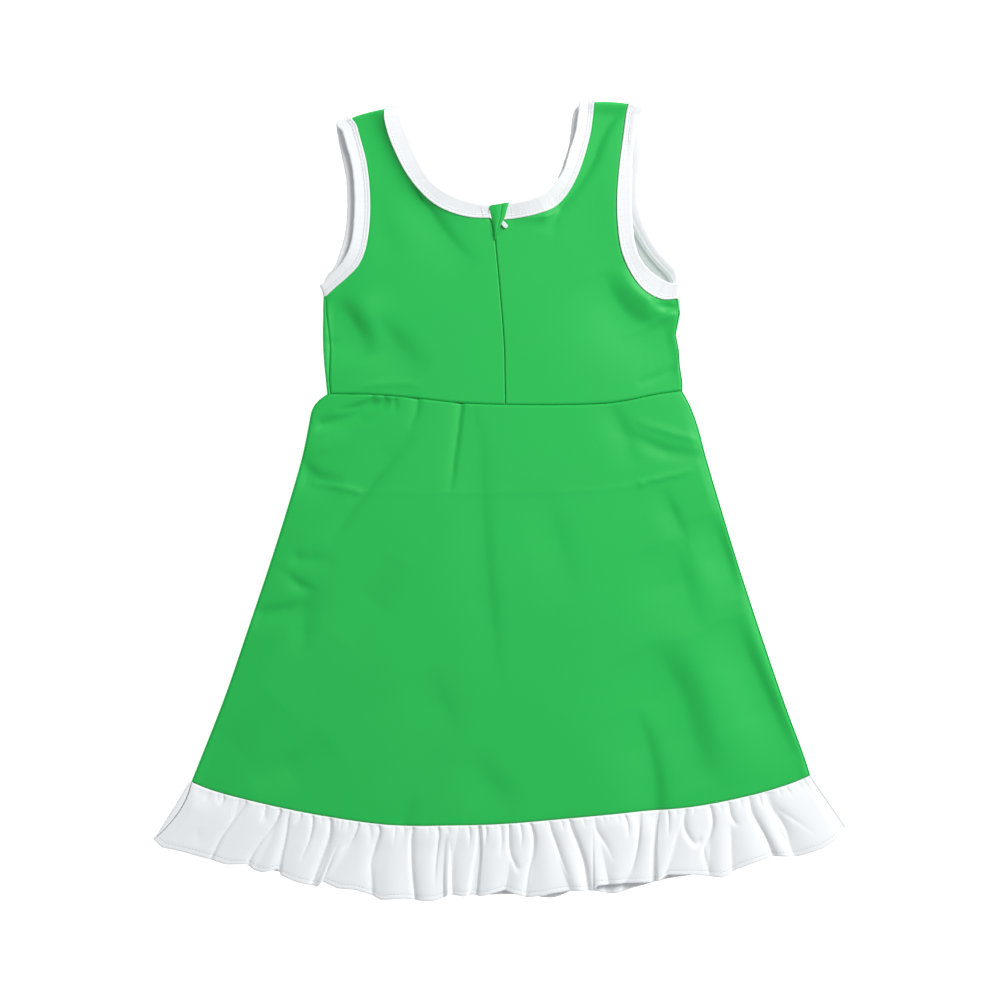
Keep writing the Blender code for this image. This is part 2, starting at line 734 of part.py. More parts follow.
def back_bodice(name, table, arm, neck, side):
    """One half of the back bodice: its side, armhole, shoulder, neck and zip edges."""
    arm_edge = strap_top(cloth_edge(arm[::-1]))
    neck_edge = strap_top(cloth_edge(neck))
    outer = []
    for y in side_heights(table, arm_edge[0][1])[:-1]:
        edge, inset = side_edge(table, y)
        outer.append((edge - side * inset, y))
    outer += arm_edge
    inner = zip_edge(side, neck_edge[0]) + neck_edge[1:]
    rows = fill_rows(list(zip(outer, inner)), BACK_COLUMNS, WAIST_BACK, bodice_top)
    rows += shoulder_rows(rows[-1], upper=True)
    return add_cloth(name, [rows], CLOTH, GREEN, faces_up=True)


def front_bodice():
    """The front bodice in one piece, with both its side edges rolled over."""
    front_neck = NECK[1]
    halfway = len(front_neck) // 2
    left_neck = strap_top(cloth_edge(front_neck[halfway::-1]))
    right_neck = strap_top(cloth_edge(front_neck[halfway:]))
    waist_x = zip_x(WAIST_Y)
    low = np.array((waist_x, WAIST_Y))
    centre_shares = even_shares(0.0, 1.0, SIDE_ROWS + FRONT_CHEST_ROWS)
    centre = [low + (left_neck[0] - low) * share for share in centre_shares]
    grids = []
    for side, table, arm, neck, way in (
        (-1, LEFT_SIDE, ARM_LEFT[1], left_neck, UNDERARM_LEFT),
        (1, RIGHT_SIDE, ARM_RIGHT[1], right_neck, UNDERARM_RIGHT),
    ):
        arm_edge = strap_top(cloth_edge(arm))
        corner = arm_edge[0]
        rolled = []
        outer = []
        for number, y in enumerate(side_heights(table, corner[1])):
            edge, inset = side_edge(table, y)
            seam_x = edge - side * inset
            seam = level(y)
            reach = ROLL / 2
            if number == 0:
                seam = beside(WAIST_FRONT, SEAM / 2)
            if number == SIDE_ROWS:
                reach += SEAM
                edge = corner[0] + side * reach
                seam_x = corner[0]
                seam = sloped(corner, way)
            rolled.append(roll_row(edge, side, seam_x, bodice_top(seam_x, y), seam, reach))
            outer.append(rolled[-1][0][:2])
        outer += arm_edge[1:]
        ends = list(zip(outer, centre + neck[1:]))
        rows = fill_rows(ends, FRONT_COLUMNS, WAIST_FRONT, on_table)
        for roll, row in zip(rolled, rows):
            roll[0] = row[0]
        rows += shoulder_rows(rows[-1], upper=False)
        if side < 0:
            rolled = [row[::-1] for row in rolled]
        else:
            rows = [row[::-1] for row in rows]
        grids += [rows, rolled]
    return add_cloth("bodice_front", grids, CLOTH, GREEN, faces_up=False)


def on_top(x, y):
    """Outer face of a binding on the back of the dress."""
    return bodice_top(x, y) + BAND_RAISE


def on_table(x, y):
    """Outer face of what lies under the back, flat on the table."""
    return 0.0


LEFT_LINE = Curve(SKIRT_LEFT)
RIGHT_LINE = Curve(SKIRT_RIGHT)


def skirt_columns(columns, inset):
    """Shares across the skirt that meet the bodice's corners, with one between each two."""
    knots = waist_knots(columns, inset)
    shares = [(x - knots[0]) / (knots[-1] - knots[0]) for x in knots]
    between = [(a + b) / 2 for a, b in zip(shares, shares[1:])]
    return sorted(shares + between)


def hem_knots(columns, inset):
    """Places along the hem where a layer's skirt has a corner."""
    left = SKIRT_LEFT[-1][0] + inset
    right = SKIRT_RIGHT[-1][0] - inset
    return with_ends([left + (right - left) * u for u in skirt_columns(columns, inset)])


HEM_BACK = HeightLine(HEM, hem_knots(BACK_COLUMNS, SIDE_INSET))
HEM_FRONT = HeightLine(HEM, hem_knots(FRONT_COLUMNS, ROLL / 2))


def side_reach(line, v, depth):
    """Width across the dress of a depth measured square to a side outline."""
    step = 0.01
    way = line.at(min(v + step, 1.0)) - line.at(max(v - step, 0.0))
    return depth * np.linalg.norm(way) / abs(way[1])


def skirt_ends(v, depth):
    """Both ends of a skirt row, a depth inside the outlines."""
    left = LEFT_LINE.at(v) + np.array((side_reach(LEFT_LINE, v, depth), 0.0))
    right = RIGHT_LINE.at(v) - np.array((side_reach(RIGHT_LINE, v, depth), 0.0))
    return left, right


def skirt_point(u, v, depth, waist, hem):
    """Point of a skirt panel, u across from left to right and v down from waist to hem."""
    (x, y), (top_x, top_y), (low_x, low_y) = (
        start + (end - start) * u
        for start, end in (skirt_ends(share, depth) for share in (v, 0.0, 1.0))
    )
    y += (1 - v) ** 2 * (waist(top_x) - SEAM / 2 - top_y)
    y += v**3 * (hem(low_x) + SEAM / 2 - low_y)
    return float(x), float(y)


def back_skirt():
    """The back skirt, with its folds."""
    columns = skirt_columns(BACK_COLUMNS, SIDE_INSET)
    rows = []
    for v in SKIRT_SHARES:
        row = []
        for u in columns:
            x, y = skirt_point(u, v, SIDE_INSET, WAIST_BACK, HEM_BACK)
            row.append((x, y, skirt_top(x, y)))
        rows.append(row)
    return add_cloth("skirt_back", [rows], CLOTH, GREEN, faces_up=True)


def front_skirt():
    """The front skirt, flat on the table, with both side edges rolled over."""
    columns = skirt_columns(FRONT_COLUMNS, ROLL / 2)
    rows = []
    rolls = {-1: [], 1: []}
    for v in FRONT_SKIRT_SHARES:
        row = [(*skirt_point(u, v, ROLL / 2, WAIST_FRONT, HEM_FRONT), 0.0) for u in columns]
        for side, u, line in ((-1, 0.0, LEFT_LINE), (1, 1.0, RIGHT_LINE)):
            back_x, back_y = skirt_point(u, v, SIDE_INSET, WAIST_BACK, HEM_BACK)
            seam = level(back_y)
            if v == 0.0:
                seam = beside(WAIST_FRONT, -SEAM / 2)
            if v == 1.0:
                seam = beside(HEM_FRONT, SEAM / 2)
            edge = float(line.at(v)[0])
            reach = side_reach(line, v, ROLL / 2)
            cells = roll_row(edge, side, back_x, skirt_top(back_x, back_y), seam, reach)
            index = 0 if side < 0 else -1
            row[index] = cells[0]
            rolls[side].append(cells[::-1] if side < 0 else cells)
        rows.append(row)
    return add_cloth("skirt_front", [rows, rolls[-1], rolls[1]], CLOTH, GREEN, faces_up=False)


def band_rows(sections, height):
    """Three points across each section of a binding, at the height of its layer."""
    rows = []
    for free_x, free_y, cloth_x, cloth_y in sections:
        row = []
        for share in (0.0, 0.5, 1.0):
            x = cloth_x + (free_x - cloth_x) * share
            y = cloth_y + (free_y - cloth_y) * share
            row.append((x, y, height(x, y)))
        rows.append(row)
    return rows


def band_turn(start, end, way, bulge, upper_first):
    """Half a turn of a binding over a shoulder or round an underarm."""
    radius = (ROLL + BAND_RAISE) / 2
    rows = []
    for angle in (60, 30, 0, -30, -60):
        turn = math.radians(angle if upper_first else -angle)
        share = (90 - angle) / 180
        row = []
        for a, b, swell in zip(start, end, (0.0, bulge, 0.0)):
            reach = (radius + swell) * math.cos(turn)
            x = a[0] + (b[0] - a[0]) * share + way[0] * reach
            y = a[1] + (b[1] - a[1]) * share + way[1] * reach
            row.append((x, y, radius + radius * math.sin(turn)))
        rows.append(row)
    return rows


def armhole_binding(name, sections, under_way):
    """A closed binding: down the back armhole, round the underarm and up the front."""
    down = band_rows(sections[0], on_top)
    up = band_rows(sections[1], on_table)
    rows = down + band_turn(down[-1], up[0], under_way, 0.0, upper_first=True)
    rows += up + band_turn(up[-1], down[0], OVER_SHOULDER, ARMHOLE_BULGE, upper_first=False)
    return add_cloth(name, [rows], BAND, WHITE, faces_up=True, closed=True)


def neck_binding():
    """The neck binding, from the zip over one shoulder, round the front and back."""
    up = band_rows(NECK[0], on_top)
    front = band_rows(NECK[1], on_table)
    down = band_rows(NECK[2], on_top)
    left = band_turn(up[-1], front[0], OVER_SHOULDER, NECK_BULGE_LEFT, upper_first=True)
    right = band_turn(front[-1], down[0], OVER_SHOULDER, NECK_BULGE_RIGHT, upper_first=False)
    rows = up + left + front + right + down
    return add_cloth("neck_binding", [rows], BAND, WHITE, faces_up=True)


def bent(start, middle, end, t):
    """Value at t on the parabola that passes three values at 0, a half and 1."""
    return start * (1 - t) * (1 - 2 * t) + middle * 4 * t * (1 - t) + end * t * (2 * t - 1)


def ruffle_point(rib, after, f, t, seam, edge_line=None):
    """Place of a ruffle point, f across one wave and t down from the seam to the edge."""
    seam_x = rib.seam_x + (after.seam_x - rib.seam_x) * f
    mid_x = rib.mid_x + (after.mid_x - rib.mid_x) * f
    edge_x = rib.edge_x + (after.edge_x - rib.edge_x) * f
    seam_y = seam(seam_x) - SEAM / 2
    if edge_line is None:
        valley_y = rib.edge_y + (after.edge_y - rib.edge_y) * f
        middle = (rib.edge_y + after.edge_y) / 2
        edge_y = valley_y + (rib.wave_y - middle) * math.sin(math.pi * f)
    else:
        edge_y = edge_line(edge_x)
    return bent(seam_x, mid_x, edge_x, t), seam_y + (edge_y - seam_y) * t


def wave_shape(f):
    """A round-topped wave with narrow valleys at both ends."""
    return math.sin(math.pi * f) ** 0.7 if 0 < f < 1 else 0.0


def ruffle_top(rib, f, t, x):
    """Upper face of the back ruffle: the seam's height, then waves and small gathers."""
    seam_z = skirt_top(x, HEM_BACK(x) + 1.0)
    z = seam_z + (VALLEY_TOP - seam_z) * smooth_step(0.0, 0.45, t)
    z += rib.rise * wave_shape(f) * (0.25 + 0.75 * t) * smooth_step(-0.05, 0.12, t)
    fade = 1 - smooth_step(0.12, 0.42, t)
    return z - GATHER_HEIGHT * fade * math.cos(2 * math.pi * f * (rib.gathers + 1))


def ruffle_outline(side, t):
    """Outer edge of both ruffles at a side."""
    rows = RUFFLE_LEFT if side < 0 else RUFFLE_RIGHT
    return tuple(bent(rows[0][i], rows[1][i], rows[2][i], t) for i in (0, 1))


def back_ruffle():
    """The back ruffle, finely gathered at the seam and in broad waves at its edge."""
    rows = []
    for t, every in RUFFLE_ROWS:
        first = ruffle_point(RIBS[0], RIBS[1], 0.0, t, HEM_BACK)[0]
        last_x, last_y = ruffle_point(RIBS[-2], RIBS[-1], 1.0, t, HEM_BACK)
        row = []
        for rib, after in zip(RIBS, RIBS[1:]):
            cells = 4 * (rib.gathers + 1)
            for cell in range(0, cells, every):
                f = cell / cells
                x, y = ruffle_point(rib, after, f, t, HEM_BACK)
                near_side = smooth_step(0.0, 9.0, min(x - first, last_x - x))
                z = ROLL + (ruffle_top(rib, f, t, x) - ROLL) * near_side
                row.append((x, y, z))
        row.append((last_x, last_y, ROLL))
        rows.append(row)
    return add_cloth("ruffle_back", [rows], RUFFLE_CLOTH, WHITE, faces_up=True)


FRONT_EDGE_LINE = HeightLine(FRONT_EDGE)


def front_ruffle():
    """The front ruffle, whose valleys rest on the table under those of the back one."""
    rows = []
    rolls = {-1: [], 1: []}
    for t in FRONT_RUFFLE_SHARES:
        sides = {}
        for side, rib, after, f in ((-1, RIBS[0], RIBS[1], 0.0), (1, RIBS[-2], RIBS[-1], 1.0)):
            edge, edge_y = ruffle_outline(side, t)
            seam_x, seam_y = ruffle_point(rib, after, f, t, HEM_BACK)
            if t == 0.0:
                seam = beside(HEM_FRONT, -SEAM / 2)
            else:
                seam = sloped((seam_x, seam_y), (edge - seam_x, edge_y - seam_y))
            cells = roll_row(edge, side, seam_x, ROLL, seam)
            sides[side] = cells[0]
            rolls[side].append(cells[::-1] if side < 0 else cells)
        row = [sides[-1]]
        for rib, after in zip(RIBS, RIBS[1:]):
            cells = rib.gathers + 3
            for cell in range(cells):
                if rib is RIBS[0] and cell == 0:
                    continue
                f = cell / cells
                x, y = ruffle_point(rib, after, f, t, HEM_FRONT, FRONT_EDGE_LINE)
                lift = max(0.0, (wave_shape(f) - 0.45) / 0.55)
                near_side = smooth_step(0.0, 25.0, min(x - sides[-1][0], sides[1][0] - x))
                row.append((x, y, FRONT_WAVE_SHARE * rib.rise * lift * t * near_side))
        row.append(sides[1])
        rows.append(row)
    grids = [rows, rolls[-1], rolls[1]]
    return add_cloth("ruffle_front", grids, RUFFLE_CLOTH, WHITE, faces_up=False)


def zip_tape():
    """The closed zip's tape, just under both back panels."""
    line = Curve(ZIP_LINE)
    drop = CLOTH + SEAM
    rows = []
    for step in range(13):
        x, y = line.at(0.02 + 0.97 * step / 12)
        xs = (x - TAPE_WIDTH / 2, x - TAPE_WIDTH / 4, x, x + TAPE_WIDTH / 4, x + TAPE_WIDTH / 2)
        rows.append([(px, y, bodice_top(px, y) - drop) for px in xs])
    return add_cloth("zip_tape", [rows], TAPE_THICK, TAPE_GREEN, faces_up=True)


def slider_top():
    """Height of the slider's flat top, level with the bindings beside it."""
    return bodice_top(*PIVOT) + BAND_RAISE


def cylinder(mesh, centre, radius, low, high, segments):
    """A closed round peg, added to a mesh, as a list of its vertices."""
    made = bmesh.ops.create_cone(
        mesh, cap_ends=True, segments=segments, radius1=radius * MM, radius2=radius * MM,
        depth=(high - low) * MM,
    )
    shift = (centre[0] * MM, centre[1] * MM, (low + high) / 2 * MM)
    bmesh.ops.translate(mesh, verts=made["verts"], vec=shift)
    return made["verts"]


def slab(outline, low, high):
    """A flat solid with the given outline, between two heights."""
    mesh = bmesh.new()
    corners = [mesh.verts.new((x * MM, y * MM, low * MM)) for x, y in outline]
    raised = bmesh.ops.extrude_face_region(mesh, geom=[mesh.faces.new(corners)])
    lifted = [item for item in raised["geom"] if isinstance(item, bmesh.types.BMVert)]
    bmesh.ops.translate(mesh, verts=lifted, vec=(0, 0, (high - low) * MM))
    bmesh.ops.recalc_face_normals(mesh, faces=mesh.faces)
    return mesh


def zip_slider():
    """The slider's body in its slot at the top of the zip, with the post for its tab."""
    x, y = PIVOT
    top = slider_top()
    low = bodice_top(x, y) - CLOTH
    half_width, half_length = SLIDER_WIDTH / 2, SLIDER_LENGTH / 2
    corner = 1.2
    outline = []
    for sx, sy, start in ((1, 1, 0), (-1, 1, 90), (-1, -1, 180), (1, -1, 270)):
        for angle in (0, 45, 90):
            turn = math.radians(start + angle)
            px = sx * (half_width - corner) + corner * math.cos(turn)
            py = sy * (half_length - corner) + corner * math.sin(turn)
            outline.append((x + px, y + py))
    body = add_object("zip_slider", slab(outline, low, top), METAL, roughness=0.35, metallic=1.0)
    peg = bmesh.new()
    cylinder(peg, PIVOT, POST_RADIUS, top - 0.5, top + SEAM + TAB_THICK, 16)
    post = add_object("zip_slider_post", peg, METAL)
    joined = body.modifiers.new("Post", "BOOLEAN")
    joined.operation = "UNION"
    joined.object = post
    post.hide_render = True
    post.display_type = "WIRE"
    return body


def tab_outline(radius_eye, radius_tip, segments=10):
    """Outline of the pull tab: two arcs and the straight sides between them."""
    lean = math.asin((radius_tip - radius_eye) / TAB_LENGTH)
    points = []
    for step in range(segments + 1):
        turn = -math.pi / 2 - lean + (math.pi + 2 * lean) * step / segments
        points.append((TAB_LENGTH + radius_tip * math.cos(turn), radius_tip * math.sin(turn)))
    for step in range(segments + 1):
        turn = math.pi / 2 + lean + (math.pi - 2 * lean) * step / segments
        points.append((radius_eye * math.cos(turn), radius_eye * math.sin(turn)))
    return points


def pull_tab():
    """The teardrop pull tab, which swings flat about the slider's post."""
    low = slider_top() + SEAM
    mesh = slab(tab_outline(TAB_EYE, TAB_TIP), 0.0, TAB_THICK)
    tab = add_object("pull_tab", mesh, WHITE, roughness=0.4)
    tab.location = (PIVOT[0] * MM, PIVOT[1] * MM, low * MM)
    tab.rotation_euler = (0, 0, math.radians(TAB_ANGLE))
    hole = bmesh.new()
    cylinder(hole, (0, 0), TAB_HOLE, -1.0, TAB_THICK + 1.0, 16)
    cutter = add_object("pull_tab_hole", hole, METAL)
    cutter.parent = tab
    cutter.hide_render = True
    cutter.display_type = "WIRE"
    cut = tab.modifiers.new("Eye", "BOOLEAN")
    cut.operation = "DIFFERENCE"
    cut.object = cutter
    return tab


def zip_flap():
    """The guard flap, sewn down along its left edge and laid over slider and tab."""
    line = Curve(FLAP)
    rows = []
    for step in range(11):
        x0, y0, x1, y1, left_lift, right_lift = line.at(step / 10)
        row = []
        for share in (0.0, 0.18, 0.4, 0.7, 1.0):
            x = x0 + (x1 - x0) * share
            y = y0 + (y1 - y0) * share
            lift = left_lift + (right_lift - left_lift) * min(1.0, share / 0.18)
            row.append((x, y, bodice_top((x0 + x1) / 2, y) + lift))
        rows.append(row)
    return add_cloth("zip_flap", [rows], FLAP_THICK, GREEN, faces_up=True)


def rest_on_origin():
    """Move everything so that the middle of the part's base is the origin."""
    bpy.context.view_layer.update()
    graph = bpy.context.evaluated_depsgraph_get()
    low = np.full(3, np.inf)
    high = np.full(3, -np.inf)
    placed = [item for item in bpy.context.scene.objects if not item.hide_render]
    for item in placed:
        shape = item.evaluated_get(graph)
        for corner in shape.data.vertices:
            point = np.array(shape.matrix_world @ corner.co)
            low = np.minimum(low, point)
            high = np.maximum(high, point)
    shift = ((low[0] + high[0]) / 2, (low[1] + high[1]) / 2, low[2])
    for item in bpy.context.scene.objects:
        if item.parent is None:
            item.location.x -= shift[0]
            item.location.y -= shift[1]
            item.location.z -= shift[2]


def main():
    for item in list(bpy.data.objects):
        bpy.data.objects.remove(item)
    back_bodice("bodice_back_left", LEFT_SIDE, ARM_LEFT[0], NECK[0], -1)
    back_bodice("bodice_back_right", RIGHT_SIDE, ARM_RIGHT[0], NECK[2][::-1], 1)
    front_bodice()
    back_skirt()
    front_skirt()
    back_ruffle()
    front_ruffle()
    neck_binding()
    armhole_binding("armhole_binding_left", ARM_LEFT, UNDERARM_LEFT)
    armhole_binding("armhole_binding_right", ARM_RIGHT, UNDERARM_RIGHT)
    zip_tape()
    zip_slider()
    pull_tab()
    zip_flap()
    rest_on_origin()


main()
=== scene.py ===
"""Looks of a child's sleeveless athletic dress, laid flat with its back panel up.

Lengths are in millimetres until a mesh is made, which is in metres. The dress lies on
z = 0 with its neck towards +Y. Each piece of cloth is a fine shell in the place of its
plain solid, with the folds, gathers, seams and stitching that the cloth really has.
"""

import math
from collections import namedtuple

import bmesh
import bpy
import numpy as np
from bpy.props import FloatProperty, FloatVectorProperty, PointerProperty
from mathutils import Matrix, Vector


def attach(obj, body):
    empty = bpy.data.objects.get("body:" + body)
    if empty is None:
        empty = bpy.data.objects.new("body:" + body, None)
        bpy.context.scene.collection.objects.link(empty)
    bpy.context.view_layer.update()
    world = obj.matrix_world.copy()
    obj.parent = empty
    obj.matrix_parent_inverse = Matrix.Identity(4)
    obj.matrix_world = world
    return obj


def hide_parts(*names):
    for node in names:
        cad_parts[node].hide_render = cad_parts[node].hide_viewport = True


bl_info = {
    "name": "Athletic dress, laid flat",
    "version": (1, 0, 0),
    "blender": (4, 5, 0),
    "location": "3D View > Sidebar > Dress",
    "description": "Builds a child's sleeveless dress with bound edges and a gathered ruffle",
    "category": "Object",
}

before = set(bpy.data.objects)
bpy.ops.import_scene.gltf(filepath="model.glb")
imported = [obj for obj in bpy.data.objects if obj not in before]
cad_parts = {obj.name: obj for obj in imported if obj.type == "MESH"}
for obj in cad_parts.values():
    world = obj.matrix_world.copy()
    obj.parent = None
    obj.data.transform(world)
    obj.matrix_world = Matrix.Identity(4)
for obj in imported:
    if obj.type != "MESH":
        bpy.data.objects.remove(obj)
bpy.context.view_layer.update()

MM = 0.001

# The pattern's own zero lies this far from the middle of the part's base
SHIFT = np.array((-0.1, -0.0148, 0.0))

# Heights of the folded stack and how the seams are made
ROLL = 3.6
BAND_RAISE = 0.8
SLIDER_RAISE = 0.4
SIDE_INSET = 1.2
BODICE_PUFF = 1.5
SKIRT_PUFF = 2.3
VALLEY_TOP = 3.3
TUCK_UNDER = 1.6

# Side outlines of the bodice from the waist up: height, outer edge, and how far inside
# that edge the side seam lies on the upper face
SideRow = namedtuple("SideRow", "y edge inset")
LEFT_SIDE = (
    SideRow(79.5, -129.4, 2.6), SideRow(90.0, -130.4, 2.6), SideRow(99.0, -131.4, 3.8),
    SideRow(113.0, -132.4, 5.3), SideRow(126.0, -132.7, 4.6), SideRow(139.0, -132.4, 2.6),
    SideRow(151.0, -132.5, 2.6),
)
RIGHT_SIDE = (
    SideRow(81.8, 137.4, 1.0), SideRow(89.0, 137.4, 1.0), SideRow(100.0, 135.6, 1.0),
    SideRow(112.0, 134.8, 1.0), SideRow(124.0, 132.5, 1.0), SideRow(140.6, 136.0, 1.6),
    SideRow(150.0, 135.5, 2.4),
)

# Side outlines of the skirt, from the waist down to the ruffle
SKIRT_LEFT = (
    (-129.4, 79.2), (-136.1, 74.5), (-141.0, 67.0), (-144.0, 52.0), (-148.5, 31.0), (-157.4, 0.0),
    (-171.5, -45.0), (-189.2, -97.5), (-207.4, -150.0), (-231.4, -210.0),
)
SKIRT_RIGHT = (
    (137.4, 81.5), (143.6, 70.0), (149.6, 53.0), (155.4, 31.0), (164.6, 0.0), (178.3, -45.0),
    (195.4, -97.5), (213.4, -150.0), (227.9, -189.0), (233.4, -205.8),
)

# Waist seam and hem seam as heights over x
WAIST = (
    (-134.0, 79.5), (-95.0, 79.0), (-62.6, 76.2), (-30.6, 72.8), (4.0, 71.4), (46.0, 71.2),
    (77.0, 72.2), (97.0, 74.8), (117.0, 79.0), (140.0, 82.2),
)
HEM = (
    (-236.0, -208.5), (-216.0, -217.6), (-171.0, -229.0), (-124.0, -238.0), (-80.0, -243.6),
    (-36.0, -243.8), (4.0, -242.6), (58.0, -238.0), (105.0, -233.6), (148.0, -229.4), (190.0, -221.0),
    (220.0, -212.0), (236.0, -204.6),
)

# Centre-back line of the zip, from the waist up
ZIP_LINE = (
    (4.4, 71.0), (3.7, 113.0), (2.2, 135.0), (-0.2, 163.0), (-2.8, 190.0), (-4.1, 212.0),
)
ZIP_X, ZIP_Y = np.array(ZIP_LINE).T
ZIP_TOP_Y = 207.0
ZIP_GAP = 0.1
ZIP_DROP = 0.8
ZIP_ROUND = 0.6

# Bindings, a row for each section: x and y of their free edge, then of the edge sewn to
# the green cloth
ARMHOLE_LEFT_BACK = (
    (-122.6, 282.6, -110.4, 287.6), (-118.4, 276.4, -107.2, 281.0), (-115.9, 269.3, -104.6, 272.0),
    (-111.0, 251.3, -99.8, 253.5), (-108.9, 232.5, -97.4, 234.0), (-109.1, 211.5, -97.1, 212.3),
    (-111.0, 194.3, -99.8, 190.5), (-115.9, 181.5, -105.4, 176.3), (-123.0, 172.5, -114.4, 166.6),
    (-129.0, 166.8, -122.6, 159.6), (-134.9, 161.3, -132.0, 152.2),
)
ARMHOLE_LEFT_FRONT = (
    (-134.9, 161.3, -132.0, 152.2), (-129.6, 168.4, -122.6, 160.6), (-124.1, 175.5, -115.5, 169.0),
    (-118.9, 189.0, -108.4, 183.8), (-115.5, 204.0, -103.9, 201.8), (-114.4, 222.8, -102.4, 222.8),
    (-115.1, 240.0, -103.1, 241.5), (-118.1, 255.8, -106.5, 258.0), (-121.3, 271.5, -109.9, 274.0),
    (-122.6, 282.6, -110.4, 287.6),
)
ARMHOLE_RIGHT_BACK = (
    (107.4, 294.4, 96.4, 298.3), (102.4, 287.6, 94.9, 289.8), (101.6, 280.4, 93.8, 281.3),
    (100.6, 269.3, 92.1, 268.5), (99.4, 249.0, 89.6, 249.0), (98.9, 228.8, 88.0, 228.0),
    (99.6, 208.5, 88.4, 207.8), (102.4, 189.0, 91.2, 187.6), (108.6, 176.6, 98.2, 170.6),
    (117.4, 168.4, 108.4, 157.4), (127.4, 162.8, 121.2, 150.6), (136.4, 163.0, 134.8, 150.6),
)
ARMHOLE_RIGHT_FRONT = (
    (136.4, 163.0, 134.8, 150.6), (133.4, 172.0, 127.8, 164.8), (126.0, 180.4, 119.6, 173.8),
    (117.9, 190.0, 110.4, 184.8), (110.9, 202.2, 101.8, 199.4), (105.4, 217.5, 94.3, 216.6),
    (104.1, 236.3, 93.0, 236.3), (106.1, 256.5, 94.9, 257.3), (107.1, 277.5, 96.0, 278.3),
    (107.4, 294.4, 96.4, 298.3),
)
NECK_LEFT_BACK = (
    (-7.6, 220.7, -7.4, 211.2), (-20.4, 223.2, -22.9, 211.9), (-32.0, 226.7, -37.9, 216.0),
    (-41.4, 231.3, -51.4, 223.5), (-50.5, 238.2, -62.6, 234.8), (-57.8, 248.8, -70.9, 246.4),
    (-64.3, 262.4, -77.6, 259.5), (-69.6, 275.6, -82.9, 272.3), (-73.0, 284.6, -86.1, 284.6),
    (-74.0, 293.6, -86.3, 294.3),
)
NECK_FRONT = (
    (-74.0, 293.6, -86.3, 294.3), (-75.4, 282.0, -87.0, 281.2), (-72.8, 268.9, -84.4, 266.2),
    (-67.1, 253.5, -78.4, 249.0), (-59.6, 238.1, -70.1, 232.5), (-49.9, 223.1, -58.9, 216.0),
    (-37.1, 210.4, -43.9, 201.0), (-21.0, 201.4, -24.4, 190.5), (-3.4, 198.0, -3.4, 186.8),
    (14.3, 201.0, 17.6, 190.1), (28.6, 211.0, 35.0, 201.4), (37.2, 225.6, 46.6, 218.4),
    (42.9, 239.6, 54.2, 234.6), (48.3, 254.2, 60.0, 251.2), (52.2, 267.4, 64.2, 265.6),
    (53.8, 281.3, 66.0, 281.3), (55.4, 291.0, 67.6, 291.6), (59.2, 298.2, 70.9, 299.2),
)
NECK_RIGHT_BACK = (
    (59.2, 298.2, 70.9, 299.2), (58.5, 286.5, 69.9, 286.5), (56.6, 274.5, 68.3, 275.3),
    (52.5, 262.1, 64.1, 258.8), (48.0, 247.5, 58.1, 242.3), (41.3, 237.4, 49.9, 228.0),
    (34.5, 229.9, 40.5, 219.0), (23.6, 225.4, 28.1, 214.1), (13.1, 223.1, 13.9, 211.1),
    (-0.6, 220.9, -0.8, 209.6),
)

# The picture's scale and middle, to turn its coordinates (across u, down v) into lengths
PICTURE_SCALE = 0.75
PICTURE_MIDDLE = (499.5, 500.0)

